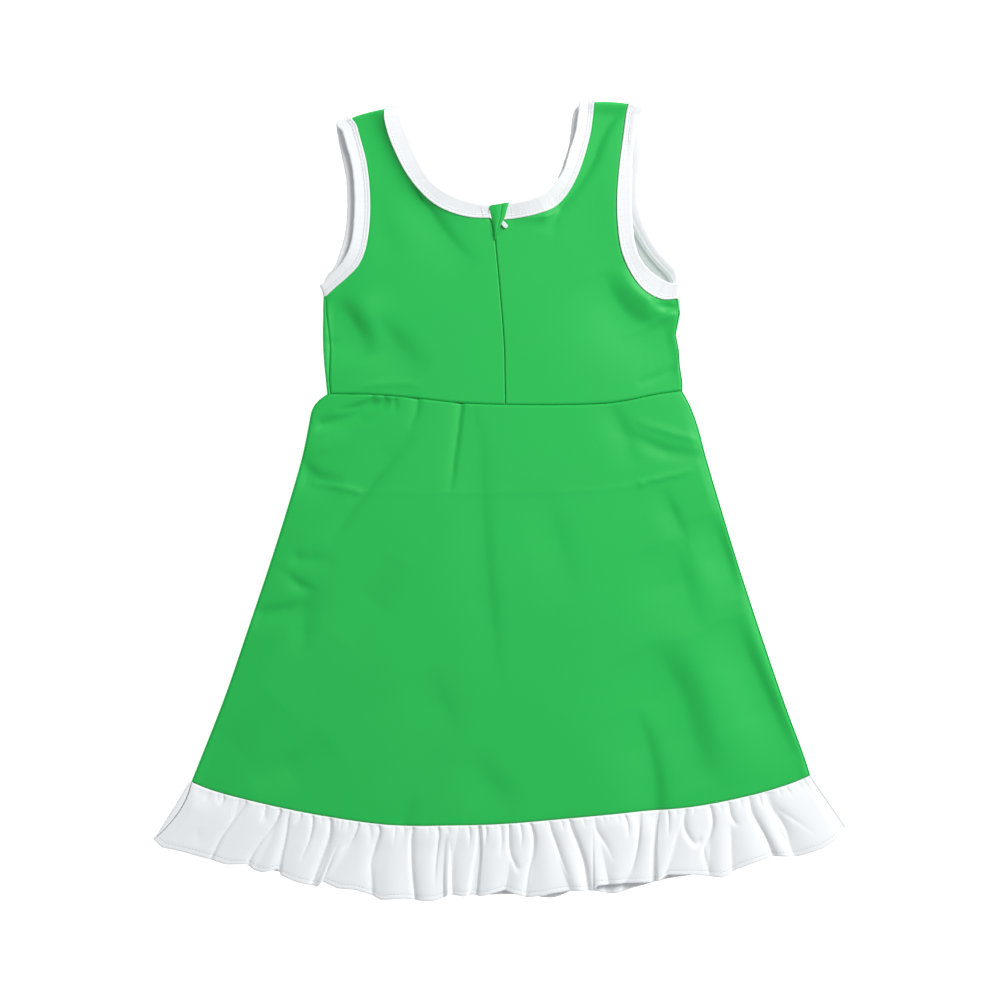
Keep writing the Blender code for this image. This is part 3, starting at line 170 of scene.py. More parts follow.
# A fold or crease: points down its line in picture coordinates, its depth at even steps
# along it (a ridge is below zero), how wide its left and right banks are, how square its
# section is, and how many times wider it is at its end. It is felt as far as its reach,
# counted in widths
Crease = namedtuple("Crease", "points depths left right power spread", defaults=(1.2, 1.0))
CREASE_REACH = 3.2
BODICE_FOLDS = (
    Crease(((385, 105), (386.5, 121), (390.5, 133), (395, 144), (402.5, 160), (412, 176),
            (424.5, 190), (438, 202), (452, 209), (466, 213.5), (482, 215.5)),
           (-4.2, -5.0, -5.0, -4.7, -4.4, -4.2, -3.7, -2.8, -1.7, -0.9, 0.0), 5.8, 8.5, 1.3),
    Crease(((427, 206), (441, 228), (459, 250), (478, 268)), (1.8, 1.7, 1.0, 0.0), 20.0, 4.6, 1.7),
    Crease(((627, 101), (612, 117), (601, 137), (592, 162), (578, 186), (558, 212), (551, 235)),
           (2.2, 2.6, 2.4, 2.1, 1.8, 1.4, 0.0), 18.0, 3.8, 1.7),
    Crease(((608, 103), (598, 112)), (0.9, 0.0), 3.0, 3.0, 1.5),
    Crease(((514, 218.5), (545, 217), (560, 209)), (0.0, -2.3, 0.0), 3.6, 7.0, 1.2),
    Crease(((602, 270), (615, 300), (629, 318), (645, 326), (659, 322), (672, 312)),
           (0.0, 2.4, 3.2, 3.4, 2.4, 0.0), 26.0, 7.5, 1.6),
    Crease(((618, 268), (632, 288), (648, 301), (664, 309)), (0.0, -2.2, -2.6, -0.6), 9.0, 6.0, 1.7),
    Crease(((626, 122), (620, 160), (618, 200), (622, 240), (632, 268)),
           (0.0, -1.3, -1.5, -1.2, 0.0), 16.0, 6.0, 1.8),
    Crease(((656, 305), (666, 307.5), (676, 309)), (0.8, 2.2, 2.6), 2.6, 3.2, 1.5),
    Crease(((677, 311), (667, 316.5), (655, 324), (640, 331), (622, 339)),
           (-1.0, -1.7, -1.5, -0.8, 0.0), 2.8, 2.6, 1.4),
    Crease(((677, 355), (673, 368), (653, 379), (636, 385)), (0.8, 1.4, 1.2, 0.0), 2.6, 3.0, 1.5),
    Crease(((332, 296), (346, 318), (358, 338), (368, 362)), (0.0, 3.2, 3.2, 0.0), 22.0, 8.5, 1.8),
    Crease(((352, 292), (368, 318), (380, 352)), (0.0, -2.3, 0.0), 10.0, 14.0, 2.0),
    Crease(((366, 306), (392, 342), (424, 374)), (0.0, 2.6, 0.0), 22.0, 9.0, 2.0),
    Crease(((326, 343), (333, 342.5), (340, 341)), (1.5, 1.6, 0.0), 1.8, 2.6, 1.5),
    Crease(((352, 393), (370, 385.5), (403, 383), (425, 387)), (-0.5, -0.9, -0.7, 0.0), 2.6, 2.6, 1.6),
    Crease(((654.8, 296), (653.6, 305)), (1.2, 0.2), 0.9, 0.9),
    Crease(((374, 190), (385, 235), (402, 262)), (0.0, 0.7, 0.0), 14.0, 9.0, 2.0),
)
SKIRT_FOLDS = (
    Crease(((322, 424), (340, 420.5), (358, 414), (374, 406), (386, 402)),
           (2.4, 4.2, 4.4, 4.0, 2.4), 5.0, 3.2, 1.5),
    Crease(((340, 410), (356, 407), (372, 402)), (0.6, 2.0, 2.0), 2.6, 2.2, 1.5),
    Crease(((373, 397), (366, 406)), (1.4, 0.6), 1.4, 1.4),
    Crease(((385, 398), (384, 405)), (1.6, 0.4), 1.3, 1.1),
    Crease(((395, 399), (396, 411)), (1.4, 0.2), 1.4, 1.2),
    Crease(((418, 400), (417, 412), (409, 431)), (1.4, 1.3, 0.2), 4.0, 1.8),
    Crease(((462.5, 401), (459, 430), (454, 468), (451, 492)), (1.9, 1.6, 1.3, 0.2), 3.6, 1.0),
    Crease(((416, 437), (392, 459), (372, 484), (346, 518), (328, 545)),
           (0.2, 1.5, 1.5, 1.0, 0.0), 10.0, 3.5, 1.5),
    Crease(((299, 463), (311, 474), (326, 480), (344, 481)), (2.2, 2.3, 1.4, 0.0), 12.0, 4.6, 1.8),
    Crease(((304, 456), (325, 446), (348, 436)), (-0.9, -0.9, 0.0), 4.0, 5.0, 2.0),
    Crease(((314, 484), (338, 487), (359, 492)), (-0.7, -1.3, -0.9), 1.3, 1.5),
    Crease(((640, 483.5), (665, 477), (692, 470)), (-1.0, -1.4, -0.2), 1.5, 1.5),
    Crease(((358, 492), (420, 492.5), (500, 492.5), (580, 491), (641, 485)),
           (-0.3, -0.22, -0.22, -0.22, -0.3), 1.6, 1.6),
    Crease(((640, 423), (670, 433), (702, 441)), (-0.3, -0.8, -0.5), 2.4, 3.2, 1.5),
    Crease(((632, 436), (666, 451), (700, 456)), (0.4, 1.3, 0.6), 6.0, 4.0, 2.0),
    Crease(((609, 408), (622, 430), (634, 468)), (0.4, 1.2, 0.0), 10.0, 6.0, 2.0),
    Crease(((660, 488), (673, 513), (684, 538)), (0.0, 1.1, 0.4), 10.0, 4.0, 2.0),
    Crease(((668, 540), (682, 582), (696, 634)), (0.0, 2.2, 0.0), 28.0, 10.0, 2.0),
    Crease(((709, 512), (722, 554), (738, 600)), (0.0, 2.4, 0.0), 18.0, 7.0, 2.0),
    Crease(((732, 616), (750, 661), (770, 706), (796, 760)), (0.0, 3.2, 3.6, 1.4), 26.0, 7.0, 1.8),
    Crease(((646, 642), (674, 688), (690, 735), (707, 786)), (0.0, 3.0, 2.6, 0.0), 36.0, 12.0, 2.0),
    Crease(((676, 620), (708, 680), (722, 735), (736, 786)), (0.0, -2.0, -1.6, 0.0), 16.0, 30.0, 2.0),
    Crease(((694, 408), (706, 445), (718, 490), (730, 530)), (-0.5, -1.3, -1.3, 0.0), 34.0, 9.0, 1.7),
    Crease(((742, 560), (765, 630), (790, 700), (806, 760)), (0.0, -1.8, -2.0, -1.4), 26.0, 9.0, 1.8),
    Crease(((634, 708), (648, 746), (655, 782), (656.5, 812)), (0.0, 2.2, 2.9, 3.4), 22.0, 5.5, 1.6),
    Crease(((478, 430), (482, 520), (488, 600), (498, 695)), (0.3, 0.9, 1.2, 0.0), 18.0, 6.0, 2.0),
    Crease(((541, 485), (556, 540), (572, 598)), (0.0, 0.9, 0.0), 18.0, 9.0, 2.0),
    Crease(((425, 670), (440, 703), (456, 738)), (0.0, 0.9, 0.0), 18.0, 8.0, 2.0),
    Crease(((470, 752), (490, 786), (520, 806)), (0.0, 1.4, 0.0), 18.0, 10.0, 2.0),
    Crease(((298, 558), (326, 561)), (1.1, 0.4), 6.0, 5.0, 2.0),
    Crease(((288, 574), (299, 584), (316, 591)), (0.6, 1.8, 0.4), 6.0, 3.0, 1.6),
    Crease(((256, 614), (285, 610), (303, 604), (312, 592)), (1.8, 2.0, 1.5, 0.2), 9.0, 4.5, 1.8),
    Crease(((306, 612), (304, 632), (298, 656)), (0.4, 1.0, 0.0), 8.0, 6.0, 2.0),
    Crease(((252, 786), (288, 766), (330, 740)), (0.4, 2.4, 0.0), 16.0, 10.0, 2.0),
    Crease(((196, 780), (232, 744), (276, 700)), (1.2, 1.8, 0.0), 20.0, 12.0, 2.0),
    Crease(((230, 740), (262, 690), (290, 655)), (0.0, -0.5, 0.0), 12.0, 12.0, 2.0),
    Crease(((412, 805), (404, 822)), (0.4, 1.2), 5.0, 5.0, 1.6),
    Crease(((340, 640), (372, 600), (400, 560)), (0.0, 1.2, 0.0), 16.0, 14.0, 2.0),
)

# The ruffle's run: where a line of its cloth leaves the hem seam, where it is halfway,
# where it ends, and how high the waves stand there
RUNS = (
    (-230.8, -239.6, -259.2, 1.0), (-190.9, -196.9, -216.4, 2.6), (-164.6, -171.4, -184.1, 3.0),
    (-156.4, -159.4, -164.6, 3.4), (-126.8, -128.6, -138.4, 4.4), (-105.0, -114.6, -131.1, 3.6),
    (-90.4, -93.4, -95.6, 4.4), (-64.9, -66.8, -64.9, 4.6), (-39.4, -41.8, -42.0, 4.6),
    (-28.9, -35.0, -34.9, 3.4), (-16.1, -16.1, -18.4, 4.8), (6.8, 7.9, 4.1, 4.4),
    (23.3, 25.9, 19.9, 3.8), (36.7, 43.9, 52.9, 4.6), (51.9, 58.9, 67.1, 4.4), (70.9, 76.9, 82.1, 4.0),
    (105.4, 103.9, 94.1, 4.0), (119.6, 115.9, 115.1, 4.4), (139.1, 133.1, 123.4, 4.0),
    (157.6, 157.9, 156.4, 4.2), (172.1, 173.6, 175.1, 4.0), (186.7, 193.1, 205.9, 3.8),
    (198.4, 208.1, 221.6, 5.0), (232.9, 246.2, 259.6, 1.4),
)
RUN_SEAM, RUN_MIDDLE, RUN_EDGE, RUN_RISE = np.array(RUNS).T

# Creases of the ruffle, from the left
CREASES = (
    Crease(((199.5, 786), (199, 790), (197, 794)), (0.8, 0.5, 0.0), 1.6, 1.4),
    Crease(((209, 790), (208, 796), (205, 801)), (0.9, 0.7, 0.0), 2.4, 1.2),
    Crease(((217.7, 793), (217.5, 798), (216, 801)), (0.7, 0.6, 0.0), 1.0, 1.6),
    Crease(((223.6, 794.5), (223.6, 800), (219, 805)), (1.3, 1.2, 0.0), 1.8, 0.8),
    Crease(((198, 826), (198.5, 846)), (0.0, 0.5, 0.0), 5.0, 5.0),
    Crease(((240, 798), (236, 812), (228, 826)), (0.8, 0.9, 0.0), 2.4, 2.0),
    Crease(((246, 799), (244.7, 804), (237, 815), (229, 826.5), (221, 838), (209.5, 862)),
           (2.0, 1.6, 2.0), 1.8, 1.2),
    Crease(((256, 801), (256, 806)), (0.7, 0.4, 0.0), 1.0, 1.0),
    Crease(((266, 804), (265, 812), (261, 822)), (1.6, 0.9, 0.0), 1.2, 1.6),
    Crease(((262, 806), (268, 824)), (0.2, 0.6, 0.0), 3.0, 3.0),
    Crease(((281, 806), (278.6, 816), (271.7, 827.5), (262.5, 839), (252, 855), (248.5, 867)),
           (2.2, 1.7, 1.8), 1.6, 1.2),
    Crease(((291.5, 810), (289, 816), (287.5, 828), (285.5, 840), (282, 856), (279.5, 872)),
           (0.8, 1.4, 2.8), 3.2, 0.8),
    Crease(((302.6, 810), (300, 818), (295, 823.5)), (1.4, 1.1, 0.0), 2.0, 0.9),
    Crease(((312.8, 813), (312.8, 825), (310.8, 834.5), (308, 844), (302, 858)),
           (1.8, 1.5, 0.4), 1.5, 1.1),
    Crease(((322, 817), (321.8, 823)), (0.7, 0.5, 0.0), 0.9, 0.9),
    Crease(((330.5, 817), (330, 832), (326, 846), (322, 857.6), (316, 873), (311.5, 888)),
           (2.4, 2.8, 3.0), 1.9, 1.7),
    Crease(((337, 819), (336, 826)), (0.7, 0.4, 0.0), 0.9, 0.9),
    Crease(((342, 820), (340, 830)), (0.8, 0.4, 0.0), 0.9, 0.9),
    Crease(((349.5, 820), (347, 832)), (1.0, 0.5, 0.0), 1.6, 1.2),
    Crease(((359.6, 820), (357.2, 829.5), (352, 840), (344.5, 847.5)), (1.7, 1.4, 0.5), 1.6, 0.6),
    Crease(((338, 845), (332, 858), (327, 870), (322, 884)), (0.3, 1.3, 1.9), 0.7, 2.2),
    Crease(((369, 823), (371, 834), (370, 846)), (1.0, 1.0, 0.0), 3.0, 2.4),
    Crease(((379, 823), (379.5, 833.5), (375.8, 845), (371.5, 861), (371.5, 873), (373, 896)),
           (2.0, 1.5, 0.9), 2.6, 1.4),
    Crease(((391, 825), (391.4, 830)), (0.7, 0.4, 0.0), 0.9, 0.9),
    Crease(((395.7, 825), (394.8, 835), (393, 845)), (1.2, 0.6, 0.0), 1.2, 1.4),
    Crease(((403.4, 825), (405, 833)), (0.9, 0.5, 0.0), 1.0, 1.0),
    Crease(((413.5, 825), (411.4, 833.4), (410.8, 847.5), (411.4, 866.5), (413.3, 887), (415.5, 902)),
           (2.2, 2.2, 1.6), 1.0, 2.2),
    Crease(((428.3, 825), (429.2, 833)), (1.0, 0.5, 0.0), 1.1, 1.0),
    Crease(((437.8, 825), (439.2, 833.5), (437.6, 847.5), (435.6, 866.5), (435, 882)),
           (1.8, 1.5, 0.2), 2.0, 1.0),
    Crease(((447, 824), (450, 834)), (0.7, 0.7, 0.0), 2.2, 1.4),
    Crease(((450.4, 842), (451, 860), (451, 878), (450, 898)), (0.4, 1.6, 1.9), 0.9, 2.0),
    Crease(((458, 824), (458.5, 831)), (0.9, 0.5, 0.0), 0.9, 0.9),
    Crease(((468.4, 823), (470, 834.5), (469, 846)), (1.6, 1.1, 0.0), 1.4, 0.9),
    Crease(((479, 823), (479, 841), (478, 856), (475.5, 873), (473, 898)),
           (3.8, 4.4, 4.6), 1.3, 1.3, 3.0, 2.4),
    Crease(((485.6, 823), (486.6, 833.4), (484.6, 845)), (1.5, 1.2, 0.0), 1.3, 0.9),
    Crease(((494, 824), (494.4, 830)), (0.7, 0.4, 0.0), 0.9, 0.9),
    Crease(((500.6, 824), (501.8, 841), (500, 856)), (1.1, 1.0, 0.0), 1.8, 1.6),
    Crease(((509, 823), (508.5, 841), (510.5, 854), (517, 869)), (2.0, 1.7, 0.6), 1.0, 1.7),
    Crease(((519.8, 822), (521.8, 834.5), (521, 848)), (1.4, 1.1, 0.0), 1.2, 1.2),
    Crease(((512, 858), (519, 869), (527, 862)), (0.0, 0.8, 0.4), 1.6, 2.4),
    Crease(((529.6, 820), (533.4, 833.4), (534, 843.6), (532, 857.6), (528.3, 874), (525.5, 897)),
           (2.0, 2.2, 1.4), 1.7, 1.3),
    Crease(((544, 820), (545.5, 828)), (0.8, 0.4, 0.0), 0.9, 0.9),
    Crease(((548.6, 819), (550.6, 829.5), (556.3, 845), (561.4, 859), (566.5, 872)),
           (1.8, 1.3, 0.3), 1.0, 2.4),
    Crease(((561, 819), (563.4, 830)), (1.1, 0.6, 0.0), 0.9, 1.1),
    Crease(((568.8, 818), (571.6, 829.5), (576.8, 842.3), (581.3, 855), (585, 869), (588, 894)),
           (2.4, 2.6, 2.6), 1.0, 2.0),
    Crease(((582, 816), (585.5, 826)), (1.0, 0.6, 0.0), 0.9, 1.1),
    Crease(((593.4, 832), (593.2, 850), (593.4, 870), (593.6, 893)), (0.2, 0.9, 1.3), 1.3, 0.4),
    Crease(((594.6, 816), (596, 829), (601, 837.5), (607.4, 847), (612.6, 858)),
           (0.7, 1.2, 0.2), 1.6, 2.4),
    Crease(((602, 814.5), (605, 824)), (0.9, 0.4, 0.0), 0.9, 1.1),
    Crease(((608.6, 814), (610, 820)), (0.7, 0.3, 0.0), 0.9, 0.9),
    Crease(((617.4, 813), (618.6, 822)), (0.8, 0.6, 0.0), 1.3, 1.5),
    Crease(((623.9, 812.5), (628.4, 827), (627.5, 838)), (1.4, 1.2, 0.0), 1.4, 1.0),
    Crease(((634, 811.5), (634.8, 819)), (0.8, 0.4, 0.0), 0.9, 0.9),
    Crease(((640.4, 810), (639.2, 834.6), (636.7, 851), (632, 872)), (2.2, 1.7, 0.2), 2.0, 0.8),
    Crease(((650.8, 809.5), (650.2, 818)), (0.9, 0.4, 0.0), 0.9, 0.9),
    Crease(((658.6, 808), (656, 823), (654.4, 838.5), (653.4, 856.4), (653.8, 886)),
           (3.4, 4.2, 4.4), 0.9, 0.9, 3.0, 2.2),
    Crease(((667.7, 809), (668.6, 824), (668, 836)), (1.5, 1.0, 0.0), 1.1, 1.0),
    Crease(((675.6, 808), (677, 816)), (1.3, 0.6, 0.0), 0.8, 0.8),
    Crease(((685, 808), (681, 824), (677, 834), (672, 851), (664.5, 872)),
           (0.8, 0.9, 0.5), 0.7, 1.8),
    Crease(((686.4, 808), (683.6, 820.6), (686, 833), (694, 843.5), (700, 841)),
           (1.0, 1.9, 1.2), 1.3, 2.2),
    Crease(((693.6, 807), (694, 814)), (0.9, 0.4, 0.0), 1.2, 1.0),
    Crease(((709.8, 805), (712.4, 818), (711.8, 828), (706.4, 842.5), (703.5, 852), (709, 872)),
           (2.2, 2.2, 0.7), 1.3, 1.4),
    Crease(((720, 803.5), (720.8, 811)), (0.7, 0.4, 0.0), 0.9, 0.9),
    Crease(((728, 802), (730.6, 815.8), (736, 823.5), (742, 820.5)), (1.6, 1.3, 0.2), 1.0, 1.8),
    Crease(((730.6, 832), (730.6, 850), (731.4, 874)), (0.2, 0.6, 0.8), 0.8, 2.0),
    Crease(((740, 799), (741, 807)), (1.0, 0.5, 0.0), 0.9, 0.9),
    Crease(((748.6, 797), (751.2, 812), (757.3, 823), (765.8, 838), (770.6, 850), (774.5, 862)),
           (1.8, 1.9, 2.0), 1.2, 2.4),
    Crease(((758.6, 794), (760.6, 802), (763, 808)), (1.2, 0.8, 0.0), 0.9, 1.2),
    Crease(((765, 792), (769.4, 805), (774.2, 813.3), (781.5, 823), (786.4, 833), (790, 846)),
           (2.4, 2.6, 0.4), 1.3, 4.0),
    Crease(((779, 790), (781, 796)), (0.6, 0.3, 0.0), 0.9, 0.9),
    Crease(((787, 788), (791, 795)), (0.8, 0.4, 0.0), 0.9, 0.9),
    Crease(((798.6, 782), (801, 790)), (0.5, 0.3, 0.0), 1.2, 1.2),
    Crease(((779, 810), (791, 818), (815, 833)), (0.4, 0.6, 0.0), 1.0, 2.2),
)

# Free edge of the back ruffle and of the front one under it
BACK_EDGE = (
    (-259.6, -254.3), (-253.1, -260.3), (-238.9, -263.3), (-217.4, -269.3), (-205.3, -273.0),
    (-189.4, -273.0), (-184.1, -277.2), (-177.4, -279.0), (-166.6, -276.8), (-163.6, -281.3),
    (-151.9, -286.2), (-136.7, -289.8), (-132.6, -286.2), (-121.1, -291.0), (-109.1, -291.8),
    (-97.1, -295.5), (-88.9, -299.6), (-71.6, -298.5), (-58.9, -300.3), (-49.4, -300.3),
    (-41.6, -297.8), (-37.9, -295.5), (-26.6, -297.0), (-22.1, -295.5), (-14.6, -297.0), (-2.6, -294.0),
    (4.1, -292.2), (12.4, -295.5), (20.2, -297.8), (33.4, -296.3), (38.6, -294.8), (52.1, -292.9),
    (70.4, -292.9), (73.6, -288.8), (91.1, -287.3), (103.1, -286.6), (115.1, -286.5), (119.0, -285.4),
    (126.4, -280.8), (145.1, -280.5), (152.6, -281.3), (166.1, -282.7), (171.4, -281.0),
    (177.4, -276.8), (187.1, -273.0), (205.0, -267.0), (224.0, -267.0), (242.0, -261.0),
    (252.7, -254.0), (259.9, -243.8),
)
FRONT_EDGE = (
    (-260.0, -254.0), (-216.0, -267.0), (-150.0, -282.5), (-90.0, -293.5), (-30.0, -296.2),
    (15.0, -296.0), (40.0, -298.3), (60.0, -291.8), (85.0, -295.2), (104.0, -290.0), (124.0, -284.8),
    (147.0, -280.8), (160.0, -279.0), (205.0, -264.5), (235.0, -256.0), (260.0, -244.5),
)
RUFFLE_LEFT = ((-233.0, -211.0), (-246.2, -233.0), (-259.8, -254.6))
RUFFLE_RIGHT = ((232.6, -206.4), (245.9, -226.0), (259.2, -244.8))

# Guard flap, a row for each section: x and y of its left edge, then of its right edge, and
# the lift of both over the cloth
FLAP = (
    (-8.4, 220.4, 7.3, 222.9, 1.8, 3.0), (-7.4, 216.6, 5.7, 218.2, 5.2, 3.4),
    (-6.2, 211.4, 4.1, 212.0, 4.2, 3.2), (-5.2, 206.1, 1.3, 206.2, 3.1, 3.1),
    (-4.4, 200.4, -0.9, 200.2, 2.8, 2.8), (-3.7, 195.0, -2.9, 194.9, 1.5, 1.5),
)

# Cross-section of a binding, from its lip on the green side round to its underside. Each
# point is measured across from the green side or from the free edge, and its height is
# measured from the band's outer face
BandPoint = namedtuple("BandPoint", "origin distance height")
BAND_PROFILE = [BandPoint(*row) for row in (
    ("green", 0.0, -0.9), ("green", 0.0, -0.25), ("green", 0.12, 0.0), ("green", 0.6, 0.14),
    ("green", 1.5, 0.1), ("green", 2.2, -0.26), ("green", 2.8, 0.0), ("green", 3.3, -0.02),
    ("green", 3.8, -0.32), ("green", 4.5, -0.2), ("free", 4.0, -0.05), ("free", 2.4, 0.2),
    ("free", 1.2, 0.42), ("free", 0.4, 0.36), ("free", 0.0, -0.1), ("free", 0.15, -0.6),
    ("free", 0.9, -1.0), ("free", 2.4, -1.25), ("green", 4.5, -1.3), ("green", 3.8, -1.12),
    ("green", 3.3, -1.28), ("green", 2.8, -1.28), ("green", 2.2, -1.12), ("green", 1.95, -1.2),
    ("green", 1.85, -0.9),
)]
BAND_PITCH = 1.5

# Lengths of a binding's small waves: puckers between stitches, its curl and its free edge
PUCKER_PITCH = 4.1
CURL_PITCH = 19.0
EDGE_PITCH = 11.0

# Rows of stitches by their distance from the green side, and their heights on both faces
STITCH_ROWS = (2.2, 3.8)
STITCH_HEIGHTS = (-0.2, -1.08)
TACK_RAISE = 0.22
STITCH_SWAY = 0.12

# Bar tacks across the neck binding beside the flap, end to end in picture coordinates
BAR_TACKS = (((480.2, 204.6), (483.4, 216.0)), ((510.4, 205.6), (512.0, 216.0)))

# Ways in which a binding turns from the back to the front of the dress
OVER_SHOULDER = (0.0, 1.0)
UNDERARM_LEFT = (-0.955, -0.295)
UNDERARM_RIGHT = (0.995, -0.1)

# How far the bindings bulge and the straps arch over the shoulders, how far free edges
# lift, and how near a valley comes to the panel below
NECK_BULGES = (3.9, 2.2)
ARMHOLE_BULGE = 2.3
STRAP_ARCH = 0.8
FRONT_CURL = 1.8
NECK_LIFT = 2.0
ARMHOLE_LIFTS = (1.5, 0.0)
VALLEY_FLOOR = 1.75

# Heights between which the bodice flattens to the shoulders, its folds end, and the
# skirt swells to its full puff
NECK_BASE = 232.0
SHOULDER = 286.0
FOLDS_END = (288.0, 297.0)
SKIRT_SWELL = (-75.0, 62.0)

# Distances of the first rows of points from a seam, so that it can roll into the seam
SEAM_ROWS = (0.0, 0.3, 0.7, 1.2, 1.8, 2.7)
SEAM_DROP = 0.9
SEAM_ROUND = 1.5
BORDER_DIP = 0.5
FRONT_BORDER_DIP = 0.75
BORDER_RAMP = 1.4
JOIN = 0.05

# Length over which the skirt's rows are spaced, and the depth of the ruffle's cloth with
# the distances of its first rows of points from the seam and its last from the free edge.
# The hem is stitched along one of the last, and the waves die out towards the sides
SKIRT_LENGTH = 300.0
RUFFLE_DEPTH = 50.0
GATHER_ROWS = (0.0, 0.35, 0.8, 1.4, 2.2, 3.2)
HEM_ROWS = (4.6, 3.9, 3.5, 3.1, 2.4, 1.5, 0.8, 0.35, 0.0)
HEM_WIDTH = 3.5
STITCHED_ROW = HEM_ROWS.index(HEM_WIDTH) - len(HEM_ROWS)
GATHER_WIDTH = 1.9
RUFFLE_COLUMNS = (1000, 420)
WAVE_SHARE = 0.45
SIDE_FADE = 7.0
FRONT_SIDE_FADE = 25.0

# Shares across the guard flap of its columns of points, and of the fold of its strip
FLAP_COLUMNS = (0.0, 0.04, 0.1, 0.2, 0.32, 0.46, 0.58, 0.63, 0.66, 0.69, 0.73, 0.8, 0.88, 0.94, 1.0)
FLAP_FOLD = 0.66


class Curve:
    """A smooth line through rows of numbers, read by its share of length."""

    def __init__(self, rows, steps=12):
        rows = np.array(rows, dtype=float)
        padded = np.vstack((rows[:1], rows, rows[-1:]))
        t = np.arange(1, steps + 1)[:, None] / steps
        parts = [rows[:1]]
        for p0, p1, p2, p3 in zip(padded, padded[1:], padded[2:], padded[3:]):
            slope1 = (p2 - p0) / 2
            slope2 = (p3 - p1) / 2
            parts.append(
                (2 * t**3 - 3 * t**2 + 1) * p1
                + (t**3 - 2 * t**2 + t) * slope1
                + (3 * t**2 - 2 * t**3) * p2
                + (t**3 - t**2) * slope2
            )
        self.points = np.vstack(parts)
        lengths = np.linalg.norm(np.diff(self.points, axis=0), axis=1)
        self.length = lengths.sum()
        self.shares = np.concatenate(([0.0], np.cumsum(lengths))) / self.length

    def at(self, share):
        """The points at shares of the whole length, from 0 to 1."""
        return np.stack([np.interp(share, self.shares, line) for line in self.points.T], axis=-1)


class HeightLine:
    """A seam or edge that runs across the dress, read as a height y over x."""

    def __init__(self, rows, steps=12):
        self.points = Curve(rows, steps).points

    def __call__(self, x):
        return np.interp(x, self.points[:, 0], self.points[:, 1])


WAIST_LINE = HeightLine(WAIST)
HEM_LINE = HeightLine(HEM)
BACK_EDGE_LINE = HeightLine(BACK_EDGE, steps=1)
FRONT_EDGE_LINE = HeightLine(FRONT_EDGE)
LEFT_LINE = Curve(SKIRT_LEFT)
RIGHT_LINE = Curve(SKIRT_RIGHT)


def smooth_step(low, high, value):
    """0 below low, 1 above high, and a soft ramp between them."""
    t = np.clip((value - low) / (high - low), 0.0, 1.0)
    return t * t * (3 - 2 * t)


def ripple(along, pitch, seed):
    """Uneven small waves along a length, between about -1 and 1, the same each time."""
    return sum(
        size * np.sin(2 * np.pi * along / (pitch * stretch) + phase * seed)
        for size, stretch, phase in ((0.5, 1.0, 1.0), (0.3, 0.61, 2.3), (0.2, 2.7, 4.1))
    )


def outline_tables():
    """Left and right outlines of bodice and skirt as sorted arrays of y and x."""
    tables = []
    for side, skirt in ((LEFT_SIDE, SKIRT_LEFT), (RIGHT_SIDE, SKIRT_RIGHT)):
        rows = [(row.y, row.edge) for row in side] + [(y, x) for x, y in skirt[1:]]
        rows.sort()
        tables.append(np.array(rows).T)
    return tables


LEFT_OUTLINE, RIGHT_OUTLINE = outline_tables()


def puff_shape(x, y):
    """How far the upper layer stands off the lower one: 0 at the sides, 1 inside."""
    left = np.interp(y, *LEFT_OUTLINE)
    right = np.interp(y, *RIGHT_OUTLINE)
    across = np.minimum(np.abs((x - (left + right) / 2) / ((right - left) / 2)), 1.0)
    return (1 - across**4) * (1 - smooth_step(NECK_BASE, SHOULDER, y))


def from_picture(points):
    """Places on the dress of points given in picture coordinates."""
    points = np.array(points, dtype=float)
    across = (points[:, 0] - PICTURE_MIDDLE[0]) * PICTURE_SCALE
    return np.stack((across, (PICTURE_MIDDLE[1] - points[:, 1]) * PICTURE_SCALE), axis=-1)


def line_offset(line, x, y):
    """How far points lie right of a line (left is negative), and their share along it."""
    best = np.full(x.shape, np.inf)
    offset = np.zeros(x.shape)
    along = np.zeros(x.shape)
    for i in range(len(line) - 1):
        step = line[i + 1] - line[i]
        away_x, away_y = x - line[i][0], y - line[i][1]
        t = np.clip((away_x * step[0] + away_y * step[1]) / step.dot(step), 0.0, 1.0)
        distance = np.hypot(away_x - step[0] * t, away_y - step[1] * t)
        side = np.sign(away_x * -step[1] + away_y * step[0])
        nearer = distance < best
        best = np.where(nearer, distance, best)
        offset = np.where(nearer, distance * side, offset)
        along = np.where(nearer, (i + t) / (len(line) - 1), along)
    return offset, along


def crease_depth(rows, x, y):
    """Depth that all the folds or creases of a piece give each point."""
    x, y = np.broadcast_arrays(x, y)
    total = np.zeros(x.shape)
    for row in rows:
        line = Curve(from_picture(row.points), steps=5).points
        reach = CREASE_REACH * max(row.left, row.right) * max(row.spread, 1.0)
        low, high = line.min(axis=0) - reach, line.max(axis=0) + reach
        near = (x > low[0]) & (x < high[0]) & (y > low[1]) & (y < high[1])
        if not near.any():
            continue
        offset, along = line_offset(line, x[near], y[near])
        width = np.where(offset < 0, row.left, row.right) * (1 + (row.spread - 1) * along)
        depth = np.interp(along, np.linspace(0, 1, len(row.depths)), row.depths)
        total[near] += depth * np.exp(-(np.abs(offset) / width) ** row.power)
    return total


def fold_depth(rows, x, y, height):
    """Depth of the folds, with no valley that reaches the panel below."""
    depth = crease_depth(rows, x, y)
    room = np.maximum(height - VALLEY_FLOOR, 0.3)
    valley = np.maximum(depth, 0.0)
    return np.where(depth > 0, valley / (1 + (valley / room) ** 4) ** 0.25, depth)


def bodice_top(x, y):
    """Upper face of the back bodice."""
    puff = BODICE_PUFF * puff_shape(x, y)
    inside = np.clip(puff_shape(x, np.minimum(y, NECK_BASE)) * 5, 0.0, 1.0)
    share = inside * (1 - smooth_step(*FOLDS_END, y))
    return ROLL + puff - fold_depth(BODICE_FOLDS, x, y, ROLL + puff) * share


